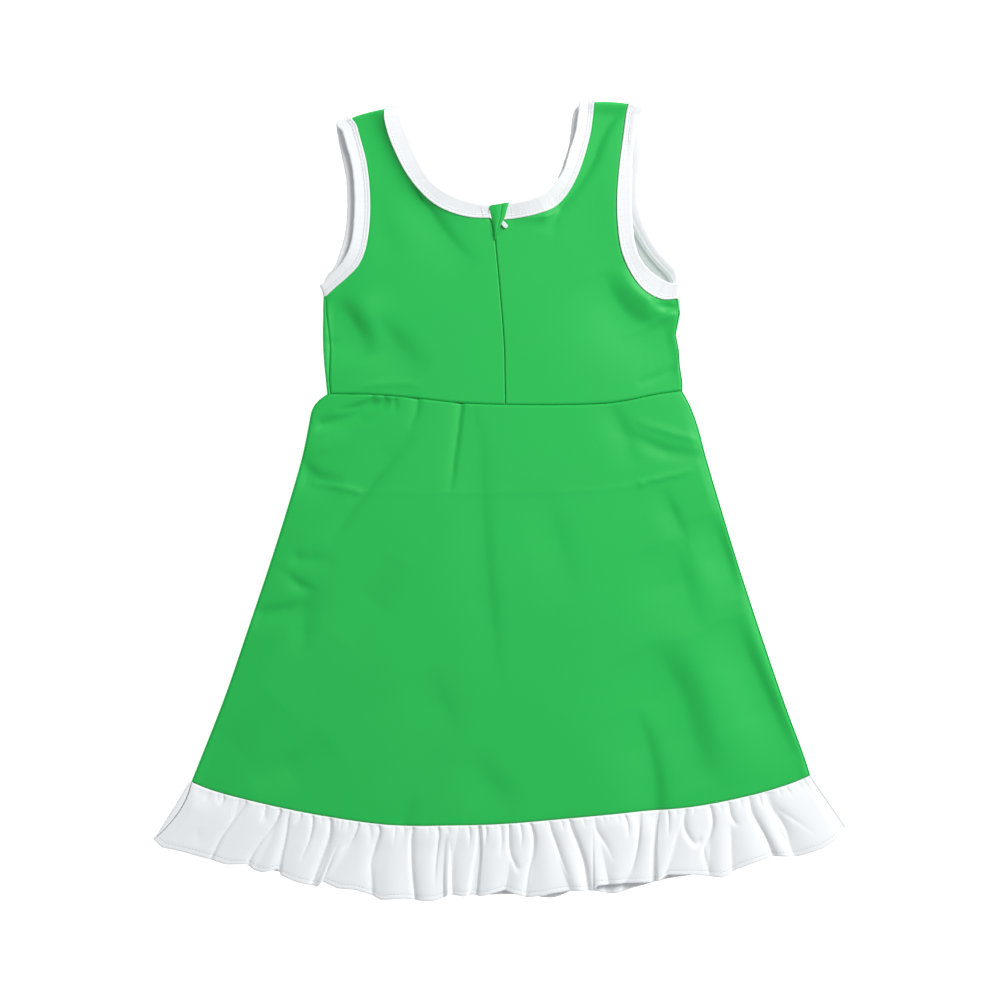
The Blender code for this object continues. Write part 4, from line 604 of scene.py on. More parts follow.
def skirt_top(x, y):
    """Upper face of the back skirt."""
    share = 1 - smooth_step(*SKIRT_SWELL, y)
    puff = (BODICE_PUFF + (SKIRT_PUFF - BODICE_PUFF) * share) * puff_shape(x, y)
    return ROLL + puff - fold_depth(SKIRT_FOLDS, x, y, ROLL + puff) * np.clip(puff / 0.3, 0.0, 1.0)


def zip_x(y):
    """Place of the closed zip's centre line at a height."""
    return np.interp(y, ZIP_Y, ZIP_X)


def near_seam(distance):
    """Drop of cloth that rolls into a seam, by its distance from the seam."""
    return SEAM_DROP * (1 - smooth_step(0.0, SEAM_ROUND, distance)) ** 1.5


def near_zip(distance):
    """Drop of cloth beside the closed zip."""
    return ZIP_DROP * (1 - smooth_step(0.0, ZIP_ROUND, distance))


def under_band(distance, dip):
    """Drop of green cloth that passes under a binding, by its distance from its edge."""
    return dip * (1 - smooth_step(TUCK_UNDER, TUCK_UNDER + BORDER_RAMP, distance))


def spaced(length, cells):
    """Distances along lengths: close rows at both ends, even ones between them."""
    length = np.asarray(length, dtype=float)[..., None]
    ends = np.array(SEAM_ROWS)
    inner = np.linspace(0, 1, cells + 1)[1:-1]
    middle = ends[-1] + (length - 2 * ends[-1]) * inner
    shape = np.broadcast_to(ends, length.shape[:-1] + ends.shape)
    return np.concatenate((shape, middle, length - shape[..., ::-1]), axis=-1)


def add_object(name, data):
    """Link a mesh, light or camera to the scene as an object at the origin."""
    made = bpy.data.objects.new(name, data)
    bpy.context.scene.collection.objects.link(made)
    return made


def surface(name, grids, faces_up=True, wrap=False):
    """A mesh from grids of points that share their edges, given in millimetres."""
    points = []
    faces = []
    count = 0
    for grid in grids:
        index = count + np.arange(grid.shape[0] * grid.shape[1]).reshape(grid.shape[:2])
        count = index.max() + 1
        if wrap:
            index = np.hstack((index, index[:, :1]))
        corners = (index[:-1, :-1], index[1:, :-1], index[1:, 1:], index[:-1, 1:])
        faces.append(np.stack(corners, axis=-1).reshape(-1, 4))
        points.append((grid.reshape(-1, 3) + SHIFT) * MM)
    data = bpy.data.meshes.new(name)
    data.from_pydata(np.vstack(points).tolist(), [], np.vstack(faces).tolist())
    mesh = bmesh.new()
    mesh.from_mesh(data)
    bmesh.ops.remove_doubles(mesh, verts=mesh.verts, dist=0.01 * MM)
    mesh.normal_update()
    upward = sum(face.normal.z * face.calc_area() for face in mesh.faces)
    if faces_up is not None and (upward > 0) != faces_up:
        bmesh.ops.reverse_faces(mesh, faces=mesh.faces)
    mesh.to_mesh(data)
    mesh.free()
    data.shade_smooth()
    return data


def cloth(name, grids, thickness, materials, faces_up=True):
    """A sheet of cloth whose outer face is given, with its wrong side behind it."""
    made = add_object(name, surface(name, grids, faces_up))
    for item in materials:
        made.data.materials.append(item)
    wall = made.modifiers.new("Wall", "SOLIDIFY")
    wall.thickness = thickness * MM
    wall.offset = -1.0
    wall.use_rim = True
    if len(materials) > 1:
        wall.material_offset = 1
    return made


# Edges of the green panels and sections of the bindings


def binding_line(rows, turns):
    """The line of a binding, drawn back by the turn's radius where it turns over."""
    radius = (ROLL + BAND_RAISE) / 2
    rows = np.array(rows, dtype=float)
    for index, way in zip((0, -1), turns):
        if way is not None:
            rows[index] = rows[index] - np.array(way * 2) * radius
    return Curve(rows)


def cloth_edge(sections):
    """The green cloth's edge, a little way under the binding."""
    free, green = sections[..., :2], sections[..., 2:4]
    way = free - green
    return green + way * TUCK_UNDER / np.linalg.norm(way, axis=-1, keepdims=True)


ARM_LEFT = (
    binding_line(ARMHOLE_LEFT_BACK, (OVER_SHOULDER, UNDERARM_LEFT)),
    binding_line(ARMHOLE_LEFT_FRONT, (UNDERARM_LEFT, OVER_SHOULDER)),
)
ARM_RIGHT = (
    binding_line(ARMHOLE_RIGHT_BACK, (OVER_SHOULDER, UNDERARM_RIGHT)),
    binding_line(ARMHOLE_RIGHT_FRONT, (UNDERARM_RIGHT, OVER_SHOULDER)),
)
NECK = (
    binding_line(NECK_LEFT_BACK, (None, OVER_SHOULDER)),
    binding_line(NECK_FRONT, (OVER_SHOULDER, OVER_SHOULDER)),
    binding_line(NECK_RIGHT_BACK, (OVER_SHOULDER, None)),
)

# Shares of an armhole at which a panel's rows reach the neck, and how many rows of points
# a panel has up to the underarm, up to the neck and up to the shoulder
ARM_TIE_BACK = 0.54
ARM_TIE_FRONT = 0.72
PANEL_ROWS = (36, 32, 46)
WAIST_ROWS = 16

# What a half of the bodice is laid out from: its side, side outline, armhole lines of back
# and front, neck line of the back, way round the underarm, how far its side seam sinks,
# and the height beside the zip that is level with the underarm
Half = namedtuple("Half", "side table arm neck way seam level")
HALVES = (
    Half(-1, LEFT_SIDE, ARM_LEFT, NECK[0], UNDERARM_LEFT, 1.0, 155.0),
    Half(1, RIGHT_SIDE, ARM_RIGHT, NECK[2], UNDERARM_RIGHT, 0.4, 139.0),
)


def side_line(half, corner, y, inner):
    """Outer x of a bodice panel at heights up to the underarm's corner."""
    heights = [row.y for row in half.table[:-1]] + [corner[1]]
    x = [row.edge - half.side * (row.inset if inner else ROLL / 2) for row in half.table[:-1]]
    return np.interp(y, heights, x + [corner[0]])


def side_rows(table, corner):
    """Heights of a panel's rows from the waist to the underarm, close at the waist."""
    low = table[0].y
    rise = np.array(SEAM_ROWS)
    rest = np.linspace(rise[-1], corner[1] - low, PANEL_ROWS[0])[1:]
    return low + np.concatenate((rise, rest))


def panel_outer(half, arm, ends, inner):
    """Outer edge of a panel up its side and armhole, with its side's rows and corner."""
    start, tie, end = ends
    corner = cloth_edge(arm.at(start))
    heights = side_rows(half.table, corner)
    side = np.stack((side_line(half, corner, heights, inner), heights), axis=-1)
    chest = arm.at(np.linspace(start, tie, PANEL_ROWS[1] + 1)[1:])
    strap = arm.at(np.linspace(tie, end, PANEL_ROWS[2] + 1)[1:])
    return np.vstack((side, cloth_edge(chest), cloth_edge(strap))), heights, corner


def border_shares(rows, centre_rows):
    """How much each row of a panel runs to an armhole, and whether it runs to the neck."""
    number = np.arange(rows)[:, None]
    is_arm = smooth_step(PANEL_ROWS[0] - 2, PANEL_ROWS[0] + 5, number)
    return is_arm, (number >= centre_rows) * 1.0


def fill_panel(outer, inner, columns, height, seams):
    """Fill a bodice panel between its two edges; its lowest rows settle on the waist."""
    length = np.linalg.norm(inner - outer, axis=1)
    across = spaced(length, columns)
    share = across / length[:, None]
    x = outer[:, None, 0] + (inner - outer)[:, None, 0] * share
    y = outer[:, None, 1] + (inner - outer)[:, None, 1] * share
    number = np.arange(len(outer))
    weight = np.clip(1 - number / WAIST_ROWS, 0, 1)[:, None] ** 2
    y = y + weight * (WAIST_LINE(x) + JOIN - y[:1])
    outer_drop = seams[0](across)
    inner_drop = seams[1](length[:, None] - across)
    waist_drop = near_seam(y - WAIST_LINE(x))
    drop = np.maximum(np.maximum(outer_drop, inner_drop), waist_drop)
    return np.stack((x, y, height(x, y, drop)), axis=-1)


def shoulder_turn(row, upper):
    """A quarter turn that takes a strap's end over the shoulder, to its seam there."""
    radius = ROLL / 2
    side = 1 if upper else -1
    angles = np.radians((75, 60, 45, 30, 15, 4))[:, None]
    x = np.broadcast_to(row[:, 0], (len(angles), len(row)))
    share = np.linspace(0, 1, len(row))
    y = row[:, 1] + (radius + STRAP_ARCH * 4 * share * (1 - share)) * np.cos(angles)
    spread = side * (row[:, 2] - radius)
    z = radius + side * spread * np.sin(angles)
    return np.stack((x, y, z), axis=-1)


def back_bodice_points(half):
    """Outer face of one half of the back bodice."""
    outer, _, _ = panel_outer(half, half.arm[0], (1.0, ARM_TIE_BACK, 0.0), inner=True)
    shares = np.linspace(0.0, 1.0, PANEL_ROWS[2] + 1)
    neck_edge = cloth_edge(half.neck.at(shares if half.side < 0 else 1 - shares))
    low = WAIST_LINE(ZIP_X[0])
    zip_y = np.concatenate((
        low + np.array(SEAM_ROWS),
        np.linspace(low + SEAM_ROWS[-1], half.level, PANEL_ROWS[0])[1:],
        np.linspace(half.level, ZIP_TOP_Y, PANEL_ROWS[1])[1:],
    ))
    centre = np.stack((zip_x(zip_y) + half.side * ZIP_GAP, zip_y), axis=-1)
    is_arm, is_neck = border_shares(len(outer), len(centre))
    seams = (
        lambda d: half.seam * near_seam(d) * (1 - is_arm) + under_band(d, BORDER_DIP) * is_arm,
        lambda d: near_zip(d) * (1 - is_neck) + under_band(d, BORDER_DIP) * is_neck,
    )
    rows = fill_panel(outer, np.vstack((centre, neck_edge)), 60,
                      lambda x, y, drop: bodice_top(x, y) - drop, seams)
    return np.vstack((rows, shoulder_turn(rows[-1], upper=True)))


def turn_up(edge, side, seam_x, seam_z, y, seam_slope, reach):
    """Rows of points from the table round a side edge to the seam on the upper face."""
    upper_reach = np.minimum(reach, np.abs(edge - seam_x) - 0.5)
    columns = []

    def add(x, z):
        columns.append(np.stack((x, y + seam_slope * (x - seam_x), z), axis=-1))

    for angle in np.radians(np.linspace(-90, 90, 13)):
        width = reach if angle < 0 else upper_reach
        add(edge - side * width * (1 - math.cos(angle)), seam_z / 2 * (1 + math.sin(angle)))
    start = columns[-1][..., 0]
    for share in (0.4, 0.75, 1.0):
        add(start + (seam_x + side * JOIN - start) * share, seam_z - SEAM_DROP * share**2)
    return np.stack(columns, axis=1)


def front_bodice_points():
    """Outer face of the front bodice, in two halves, and of its rolled sides."""
    neck = NECK[1]
    lowest = neck.shares[np.argmin(neck.points[:, 3])]
    low = np.array((ZIP_X[0], WAIST_LINE(ZIP_X[0])))
    grids = []
    for half in HALVES:
        ends = (0.0, 1 - ARM_TIE_FRONT, 1.0)
        outer, heights, corner = panel_outer(half, half.arm[1], ends, inner=False)
        end = 0.0 if half.side < 0 else 1.0
        neck_edge = cloth_edge(neck.at(np.linspace(lowest, end, PANEL_ROWS[2] + 1)))
        run = neck_edge[0] - low
        count = len(outer) - PANEL_ROWS[2] - len(SEAM_ROWS)
        distance = np.concatenate((SEAM_ROWS, np.linspace(SEAM_ROWS[-1], run[1], count)[1:]))
        centre = low + run * (distance / run[1])[:, None]
        is_arm, is_neck = border_shares(len(outer), len(centre))
        seams = (
            lambda d: under_band(d, FRONT_BORDER_DIP) * is_arm,
            lambda d: under_band(d, FRONT_BORDER_DIP) * is_neck,
        )
        rows = fill_panel(outer, np.vstack((centre, neck_edge)), 40,
                          lambda x, y, drop: np.minimum(drop, SEAM_DROP), seams)
        roll = side_roll(half, heights, corner)
        roll[:, 0] = rows[:len(heights), 0]
        rows = np.vstack((rows, shoulder_turn(rows[-1], upper=False)))
        grids += [rows, roll[:, ::-1]] if half.side < 0 else [rows[:, ::-1], roll]
    return grids


def side_roll(half, heights, corner):
    """A side of the front bodice, rolled up to its seam on the back."""
    table_y = [row.y for row in half.table]
    edge = np.interp(heights, table_y, [row.edge for row in half.table])
    inset = np.interp(heights, table_y, [row.inset for row in half.table])
    near = smooth_step(heights[-1] - 14, heights[-1], heights)
    edge = edge + (corner[0] + half.side * ROLL / 2 - edge) * near
    seam_x = edge - half.side * (inset + (ROLL / 2 - inset) * near)
    slope = half.way[1] / half.way[0] * near
    return turn_up(edge, half.side, seam_x, bodice_top(seam_x, heights), heights, slope, ROLL / 2)


def side_reach(line, v, depth):
    """Width across the dress of a depth measured square to a side outline."""
    way = line.at(np.minimum(v + 0.01, 1.0)) - line.at(np.maximum(v - 0.01, 0.0))
    return depth * np.linalg.norm(way, axis=-1) / np.abs(way[..., 1])


def skirt_ends(v, depth):
    """Both ends of skirt rows, a depth inside the outlines."""
    left = LEFT_LINE.at(v)
    right = RIGHT_LINE.at(v)
    left[..., 0] += side_reach(LEFT_LINE, v, depth)
    right[..., 0] -= side_reach(RIGHT_LINE, v, depth)
    return left, right


def skirt_places(v, depth, columns):
    """Places of a skirt panel's points, with how far each is from its side edges."""
    left, right = skirt_ends(v, depth)
    width = right[:, 0] - left[:, 0]
    across = spaced(width, columns)
    u = (across / width[:, None])[..., None]
    place = left[:, None] + (right - left)[:, None] * u
    top = [end[0] for end in skirt_ends(np.zeros(1), depth)]
    low = [end[0] for end in skirt_ends(np.ones(1), depth)]
    top = top[0] + (top[1] - top[0]) * u
    low = low[0] + (low[1] - low[0]) * u
    x, y = place[..., 0], place[..., 1]
    v = v[:, None]
    y = y + (1 - v) ** 2 * (WAIST_LINE(top[..., 0]) - JOIN - top[..., 1])
    y = y + v**3 * (HEM_LINE(low[..., 0]) + JOIN - low[..., 1])
    return x, y, np.minimum(across, width[:, None] - across)


def back_skirt_points():
    """Outer face of the back skirt."""
    v = spaced(SKIRT_LENGTH, 150) / SKIRT_LENGTH
    x, y, side_distance = skirt_places(v, SIDE_INSET, 190)
    rise = y - HEM_LINE(x)
    drop = np.maximum(0.3 * near_seam(side_distance), near_seam(WAIST_LINE(x) - y))
    drop = np.maximum(drop, near_seam(rise))
    fade = np.exp(-rise / 4.0) * smooth_step(0.0, 1.2, rise)
    return np.stack((x, y, skirt_top(x, y) - drop - gather_depth(x) * 0.3 * fade), axis=-1)


def front_skirt_points():
    """Outer face of the front skirt, flat on the table with its sides rolled over."""
    v = spaced(SKIRT_LENGTH, 60) / SKIRT_LENGTH
    x, y, _ = skirt_places(v, ROLL / 2, 60)
    flat = np.stack((x, y, np.zeros_like(x)), axis=-1)
    back_x, back_y, _ = skirt_places(v, SIDE_INSET, 4)
    rolls = []
    for side, line, index in ((-1, LEFT_LINE, 0), (1, RIGHT_LINE, -1)):
        seam_x, seam_y = back_x[:, index], back_y[:, index]
        reach = side_reach(line, v, ROLL / 2)
        roll = turn_up(line.at(v)[:, 0], side, seam_x, skirt_top(seam_x, seam_y), seam_y, 0.0, reach)
        roll[:, 0] = flat[:, index]
        rolls.append(roll)
    return with_rolls(flat, rolls)


def with_rolls(flat, rolls):
    """A lower panel's points between the rolls of its left and its right side."""
    return np.concatenate((rolls[0][:, :0:-1], flat, rolls[1][:, 1:]), axis=1)


def binding_frames(line, upper, curl=0.0):
    """Sections of a binding on a layer: green edge, free edge, outward way and bulge."""
    shares = np.linspace(0.0, 1.0, int(line.length / BAND_PITCH))
    rows = line.at(shares)
    count = len(rows)
    green = np.column_stack((rows[:, 2:4], np.zeros(count)))
    free = np.column_stack((rows[:, :2], np.zeros(count)))
    way = np.tile((0.0, 0.0, 1.0 if upper else -1.0), (count, 1))
    lift = curl * smooth_step(0.0, 0.12, shares) * (1 - smooth_step(0.7, 1.0, shares))
    if upper:
        green[:, 2] = bodice_top(green[:, 0], green[:, 1]) + BAND_RAISE
        free[:, 2] = bodice_top(free[:, 0], free[:, 1]) + BAND_RAISE + lift
    else:
        free[:, 2] = lift
    return np.stack((green, free, way, np.zeros((count, 3))), axis=1)


def binding_turn(start, end, way, bulge, upper_first):
    """Sections of half a turn over a shoulder or round an underarm."""
    radius = (ROLL + BAND_RAISE) / 2
    frames = []
    for angle in np.radians(np.linspace(75, -75, 11)):
        share = (math.pi / 2 - angle) / math.pi
        turn = angle if upper_first else -angle
        section = start + (end - start) * share
        out = np.array((way[0] * math.cos(turn), way[1] * math.cos(turn), math.sin(turn)))
        for i in (0, 1):
            section[i, 2] = radius
            section[i] += out * radius
        section[2] = out
        section[3, :2] = np.array(way) * bulge * math.cos(turn)
        frames.append(section)
    return np.array(frames)


def armhole_frames(lines, under_way, lift):
    """Sections right round an armhole binding: down the back and up the front."""
    down = binding_frames(lines[0], upper=True, curl=lift)
    up = binding_frames(lines[1], upper=False, curl=FRONT_CURL)
    under = binding_turn(down[-1], up[0], under_way, 0.0, upper_first=True)
    over = binding_turn(up[-1], down[0], OVER_SHOULDER, ARMHOLE_BULGE, upper_first=False)
    return np.concatenate((down, under, up, over))


def neck_frames():
    """Sections of the neck binding: up the left back, round the front, down the right."""
    up, front = binding_frames(NECK[0], upper=True), binding_frames(NECK[1], upper=False)
    down = binding_frames(NECK[2], upper=True, curl=NECK_LIFT)
    first = binding_turn(up[-1], front[0], OVER_SHOULDER, NECK_BULGES[0], upper_first=True)
    last = binding_turn(front[-1], down[0], OVER_SHOULDER, NECK_BULGES[1], upper_first=False)
    return np.concatenate((up, first, front, last, down))


def on_binding(frames, from_green, from_free, height):
    """Points on a binding at a distance from its green or its free side."""
    green, free, out, bulge = (frames[:, i] for i in range(4))
    width = np.linalg.norm(free - green, axis=1)
    distance = from_green if from_free is None else width - from_free
    share = (np.broadcast_to(distance, width.shape) / width)[:, None]
    swell = bulge * 4 * share * (1 - share)
    return green + (free - green) * share + swell + out * np.reshape(height, (-1, 1))


def binding_points(frames, seed):
    """The closed tube of a binding, with puckers between its stitches."""
    middles = frames[:, :2].mean(axis=1)
    steps = np.linalg.norm(np.diff(middles, axis=0), axis=1)
    along = np.concatenate(([0.0], np.cumsum(steps)))
    pucker = ripple(along, PUCKER_PITCH, seed)
    curl = ripple(along, CURL_PITCH, seed + 1.3)
    columns = []
    for point in BAND_PROFILE:
        height = np.full(len(frames), point.height)
        if point.origin == "green":
            if point.height > -0.6:
                height += 0.07 * pucker * min(point.distance, 1.0)
            columns.append(on_binding(frames, point.distance, None, height))
        else:
            if point.height > -0.6:
                height += (0.1 * curl - 0.12) * (4.0 - point.distance) / 4.0 + 0.05 * pucker
            reach = point.distance - 0.18 * ripple(along, EDGE_PITCH, seed + 0.4)
            columns.append(on_binding(frames, None, reach, height))
    return np.stack(columns, axis=1)


def bar_tacks():
    """Short lines of stitches across the neck binding, on both sides of the flap."""
    lines = []
    for points in BAR_TACKS:
        place = Curve(from_picture(points)).at(np.linspace(0, 1, 12))
        z = bodice_top(place[:, 0], place[:, 1]) + BAND_RAISE + TACK_RAISE
        lines.append(np.column_stack((place, z)))
    return lines


def bent(start, middle, end, t):
    """Value at t on the parabola that passes three values at 0, a half and 1."""
    return start * (1 - t) * (1 - 2 * t) + middle * 4 * t * (1 - t) + end * t * (2 * t - 1)


def ruffle_places(seam_x, t, edge_line):
    """Where lines of a ruffle's cloth lie, by their places at the seam and t down them."""
    mid_x = np.interp(seam_x, RUN_SEAM, RUN_MIDDLE)
    edge_x = np.interp(seam_x, RUN_SEAM, RUN_EDGE)
    start_y = HEM_LINE(seam_x) - JOIN
    x = bent(seam_x, mid_x, edge_x, t)
    inside = np.minimum(x - x[:, :1], x[:, -1:] - x)
    return x, start_y + (edge_line(edge_x) - start_y) * t, inside


def run_cell(seam_x):
    """Number of the run that a place of the seam lies in, and its share across it."""
    number = np.clip(np.searchsorted(RUN_SEAM, seam_x, side="right") - 1, 0, len(RUNS) - 2)
    start, end = RUN_SEAM[number], RUN_SEAM[number + 1]
    return number, (seam_x - start) / (end - start)


SEAM_GATHERS = from_picture([row.points[0] for row in CREASES])[:, 0]


def gather_depth(x):
    """Depth of the small gathers along the hem seam, from 0 to about 1."""
    total = np.zeros(np.shape(x))
    for place in SEAM_GATHERS:
        total = np.maximum(total, np.exp(-np.abs((x - place) / GATHER_WIDTH) ** 1.5))
    return total


def ruffle_top(seam_x, x, y, t):
    """Upper face of the back ruffle: broad waves with creases and gathers between them."""
    seam_z = skirt_top(seam_x, HEM_LINE(seam_x) + 1.0)
    base = seam_z + (VALLEY_TOP + 1.6 - seam_z) * smooth_step(0.0, 0.4, t)
    number, share = run_cell(seam_x)
    wave = RUN_RISE[number] * WAVE_SHARE * np.sin(np.pi * np.clip(share, 0.0, 1.0)) ** 1.1
    z = base + wave * (0.2 + 0.8 * t) * smooth_step(-0.05, 0.2, t)
    z = z - crease_depth(CREASES, x, y) * smooth_step(0.0, 0.04, t)
    floor = VALLEY_TOP - 0.2
    return floor + np.log1p(np.exp((z - floor) * 4.0)) / 4.0


def back_ruffle_points():
    """Outer face of the back ruffle."""
    seam_x = np.linspace(RUN_SEAM[0], RUN_SEAM[-1], RUFFLE_COLUMNS[0])[None, :]
    even = np.linspace(4.4, RUFFLE_DEPTH - 6.0, 26)
    t = np.concatenate((GATHER_ROWS, even, RUFFLE_DEPTH - np.array(HEM_ROWS)))[:, None] / RUFFLE_DEPTH
    x, y, inside = ruffle_places(seam_x, t, BACK_EDGE_LINE)
    from_edge = RUFFLE_DEPTH * (1 - t)
    z = ruffle_top(seam_x, x, y, t) - near_seam(RUFFLE_DEPTH * t)
    z = z - 0.14 * np.exp(-((from_edge - HEM_WIDTH) / 0.45) ** 2)
    z = z - 0.35 * (1 - smooth_step(0.0, 0.7, from_edge))
    z = ROLL + 0.3 + (z - ROLL - 0.3) * smooth_step(0.0, SIDE_FADE, inside)
    return np.stack((x, y, z), axis=-1)


def front_ruffle_points():
    """Outer face of the front ruffle, on the table, with both its sides rolled over."""
    seam_x = np.linspace(RUN_SEAM[0], RUN_SEAM[-1], RUFFLE_COLUMNS[1])[None, :]
    t = np.concatenate((np.linspace(0.0, 0.9, 16), (0.93, 0.95, 0.97, 0.985, 1.0)))[:, None]
    x, y, inside = ruffle_places(seam_x, t, FRONT_EDGE_LINE)
    number, share = run_cell(seam_x)
    lift = np.clip((np.sin(np.pi * share) - 0.45) / 0.55, 0.0, 1.0) * RUN_RISE[number] * 0.3
    flat = np.stack((x, y, lift * t * smooth_step(0.0, FRONT_SIDE_FADE, inside)), axis=-1)
    rolls = []
    for side, outline, index in ((-1, RUFFLE_LEFT, 0), (1, RUFFLE_RIGHT, -1)):
        edge_x, edge_y = bent(*(np.array(point)[:, None] for point in outline), t[:, 0])
        seam_x, seam_y, _ = flat[:, index].copy().T
        slope = (edge_y - seam_y) / (edge_x - seam_x)
        reach = np.minimum(ROLL / 2, np.abs(edge_x - seam_x) * 0.45)
        roll = turn_up(edge_x, side, seam_x, np.full(len(t), ROLL - 0.1), seam_y, slope, reach)
        flat[:, index] = roll[:, 0]
        rolls.append(roll)
    return with_rolls(flat, rolls)


def flap_points():
    """Outer face of the guard flap, with the folded strip along its right edge."""
    rows = Curve(FLAP).at(np.linspace(0.0, 1.0, 44))
    shares = np.array(FLAP_COLUMNS)
    x0, y0, x1, y1, left, right = (rows[:, i, None] for i in range(6))
    x = x0 + (x1 - x0) * shares
    y = y0 + (y1 - y0) * shares
    lift = left + (right - left) * smooth_step(0.0, 0.25, shares)
    width = np.clip((x1 - x0) / 8.0, 0.2, 1.0)
    crease = -0.3 * np.exp(-((shares - FLAP_FOLD) / 0.03) ** 2)
    strip = 0.3 * smooth_step(FLAP_FOLD, 0.73, shares) * (1 - smooth_step(0.93, 1.02, shares))
    edge = -0.4 * smooth_step(0.95, 1.0, shares)
    shut = 0.3 + 0.48 * np.clip(shares / 0.3, 0.0, 1.0)
    z = bodice_top((x0 + x1) / 2, y) + lift * shut + width * (crease + strip + edge)
    return np.stack((x, y, z), axis=-1)


# Zip: slider, pull tab and coil. The tab turns about the pivot on the slider
PIVOT = (-4.1, 214.6)
SLIDER_TOP = float(bodice_top(*PIVOT)) + SLIDER_RAISE
TAB_EYE = 1.6
TAB_HOLE = 1.05
TAB_TIP = 1.65
TAB_LENGTH = 12.8
TAB_THICK = 0.9
TAB_ANGLE = -48.0
TAB_LIFT = 0.3
SLIDER_HEIGHT = 1.6
SLIDER_HALF = (2.15, 4.0)
ROUND_POINTS = 48

# The zip's tape and coil: thickness, half width and depth under the cloth's upper face.
# Last, the thickness of the guard flap's cloth
TAPE_WALL = 0.5
TAPE_HALF = 9.0
TAPE_DEPTH = 1.5
TAPE_SHARES = (0.02, 0.985)
COIL_SHARES = (0.02, 0.98)
COIL_PITCH = 1.1
COIL_HALF = (1.7, 0.4)
COIL_DEPTH = 2.45
COIL_WIRE = 0.28
FLAP_WALL = 0.8


def tab_outline(grow, segments=14):
    """Outline of the pull tab about its eye, drawn in or out by a distance."""
    eye, tip = TAB_EYE + grow, TAB_TIP + grow
    lean = math.asin((tip - eye) / TAB_LENGTH)
    share = np.linspace(0, 1, segments)
    turns = -math.pi / 2 - lean + (math.pi + 2 * lean) * share
    far = np.stack((TAB_LENGTH + tip * np.cos(turns), tip * np.sin(turns)), axis=-1)
    turns = math.pi / 2 + lean + (math.pi - 2 * lean) * share
    return np.vstack((far, np.stack((eye * np.cos(turns), eye * np.sin(turns)), axis=-1)))


def tab_points():
    """Rings round the pull tab's section, from its eye over the top and back below."""
    outer = tab_outline(0.0)
    angle = np.arctan2(outer[:, 1], outer[:, 0])
    hole = np.stack((np.cos(angle), np.sin(angle)), axis=-1)
    half = TAB_THICK / 2
    upper = [
        (hole * TAB_HOLE, half - 0.15),
        (hole * (TAB_HOLE + 0.15), half),
        (tab_outline(-0.34), half),
        (tab_outline(-0.12), half - 0.07),
        (outer, half - 0.3),
    ]
    rings = upper + [(ring, -z) for ring, z in reversed(upper)] + upper[:1]
    turn = math.radians(TAB_ANGLE)
    points = []
    for ring, z in rings:
        x = PIVOT[0] + ring[:, 0] * math.cos(turn) - ring[:, 1] * math.sin(turn)
        y = PIVOT[1] + ring[:, 0] * math.sin(turn) + ring[:, 1] * math.cos(turn)
        points.append(np.column_stack((x, y, np.full(len(x), SLIDER_TOP + TAB_LIFT + half + z))))
    return np.array(points)


def circle(count):
    """Points evenly round a circle of radius 1."""
    turn = np.linspace(0, 2 * np.pi, count, endpoint=False)
    return np.stack((np.cos(turn), np.sin(turn)), axis=-1)


def slider_outline(grow):
    """Outline of the slider, wide at its shoulders and narrower at its tail."""
    across, along = (np.sign(part) * np.abs(part) ** 0.55 for part in circle(ROUND_POINTS).T)
    half_x, half_y = SLIDER_HALF
    return np.stack((across * (half_x + grow) * (1.0 + 0.14 * along), along * (half_y + grow)), axis=-1)


def slider_points():
    """The slider's two plates with the slot for the tape between them, and its post."""
    top = SLIDER_TOP
    low = top - SLIDER_HEIGHT
    plates = ((-1.9, low), (-0.25, low), (0.0, low + 0.2), (0.0, low + 0.45), (-0.9, low + 0.5),
              (-0.9, top - 0.6), (0.0, top - 0.55), (0.0, top - 0.2), (-0.25, top))
    post = ((0.72, top), (0.66, top + 0.1), (0.66, top + 1.05), (0.5, top + 1.2), (0.01, top + 1.2))
    rings = [(slider_outline(grow), z) for grow, z in plates]
    rings += [(circle(ROUND_POINTS) * radius, z) for radius, z in post]
    return np.array([np.column_stack((ring + PIVOT, np.full(len(ring), z))) for ring, z in rings])


def coil_points():
    """The closed zip's coil on the underside of its tape, as a tube on a flat helix."""
    line = Curve(ZIP_LINE)
    turns = int(line.length / COIL_PITCH)
    share = np.linspace(*COIL_SHARES, turns * 10)
    x, y = line.at(share).T
    angle = share / (COIL_SHARES[1] - COIL_SHARES[0]) * turns * 2 * np.pi
    z = bodice_top(x, y) - COIL_DEPTH + COIL_HALF[1] * np.sin(angle)
    centre = np.stack((x + COIL_HALF[0] * np.cos(angle), y, z), axis=-1)
    way = np.gradient(centre, axis=0)
    way /= np.linalg.norm(way, axis=1, keepdims=True)
    first = np.cross(way, (0.0, 1.0, 0.0))
    first /= np.linalg.norm(first, axis=1, keepdims=True)
    second = np.cross(way, first)
    ring = circle(6)[..., None]
    return centre[:, None] + COIL_WIRE * (ring[:, 0] * first[:, None] + ring[:, 1] * second[:, None])


# Materials


class Value:
    """A socket of a node tree. Sums written with it add the nodes they need."""

    def __init__(self, nodes, socket):
        self.nodes = nodes
        self.socket = socket

    def math(self, operation, *others):
        return self.nodes.add("ShaderNodeMath", {"operation": operation}, (self, *others))

    def siblings(self):
        """All the output sockets of this value's node."""
        return [Value(self.nodes, socket) for socket in self.socket.node.outputs]

    def __add__(self, other):
        return self.math("ADD", other)

    __radd__ = __add__

    def __mul__(self, other):
        return self.math("MULTIPLY", other)

    __rmul__ = __mul__

    def __sub__(self, other):
        return self.math("SUBTRACT", other)

    def __rsub__(self, other):
        return self.nodes.add("ShaderNodeMath", {"operation": "SUBTRACT"}, (other, self))

    def __abs__(self):
        return self.math("ABSOLUTE")


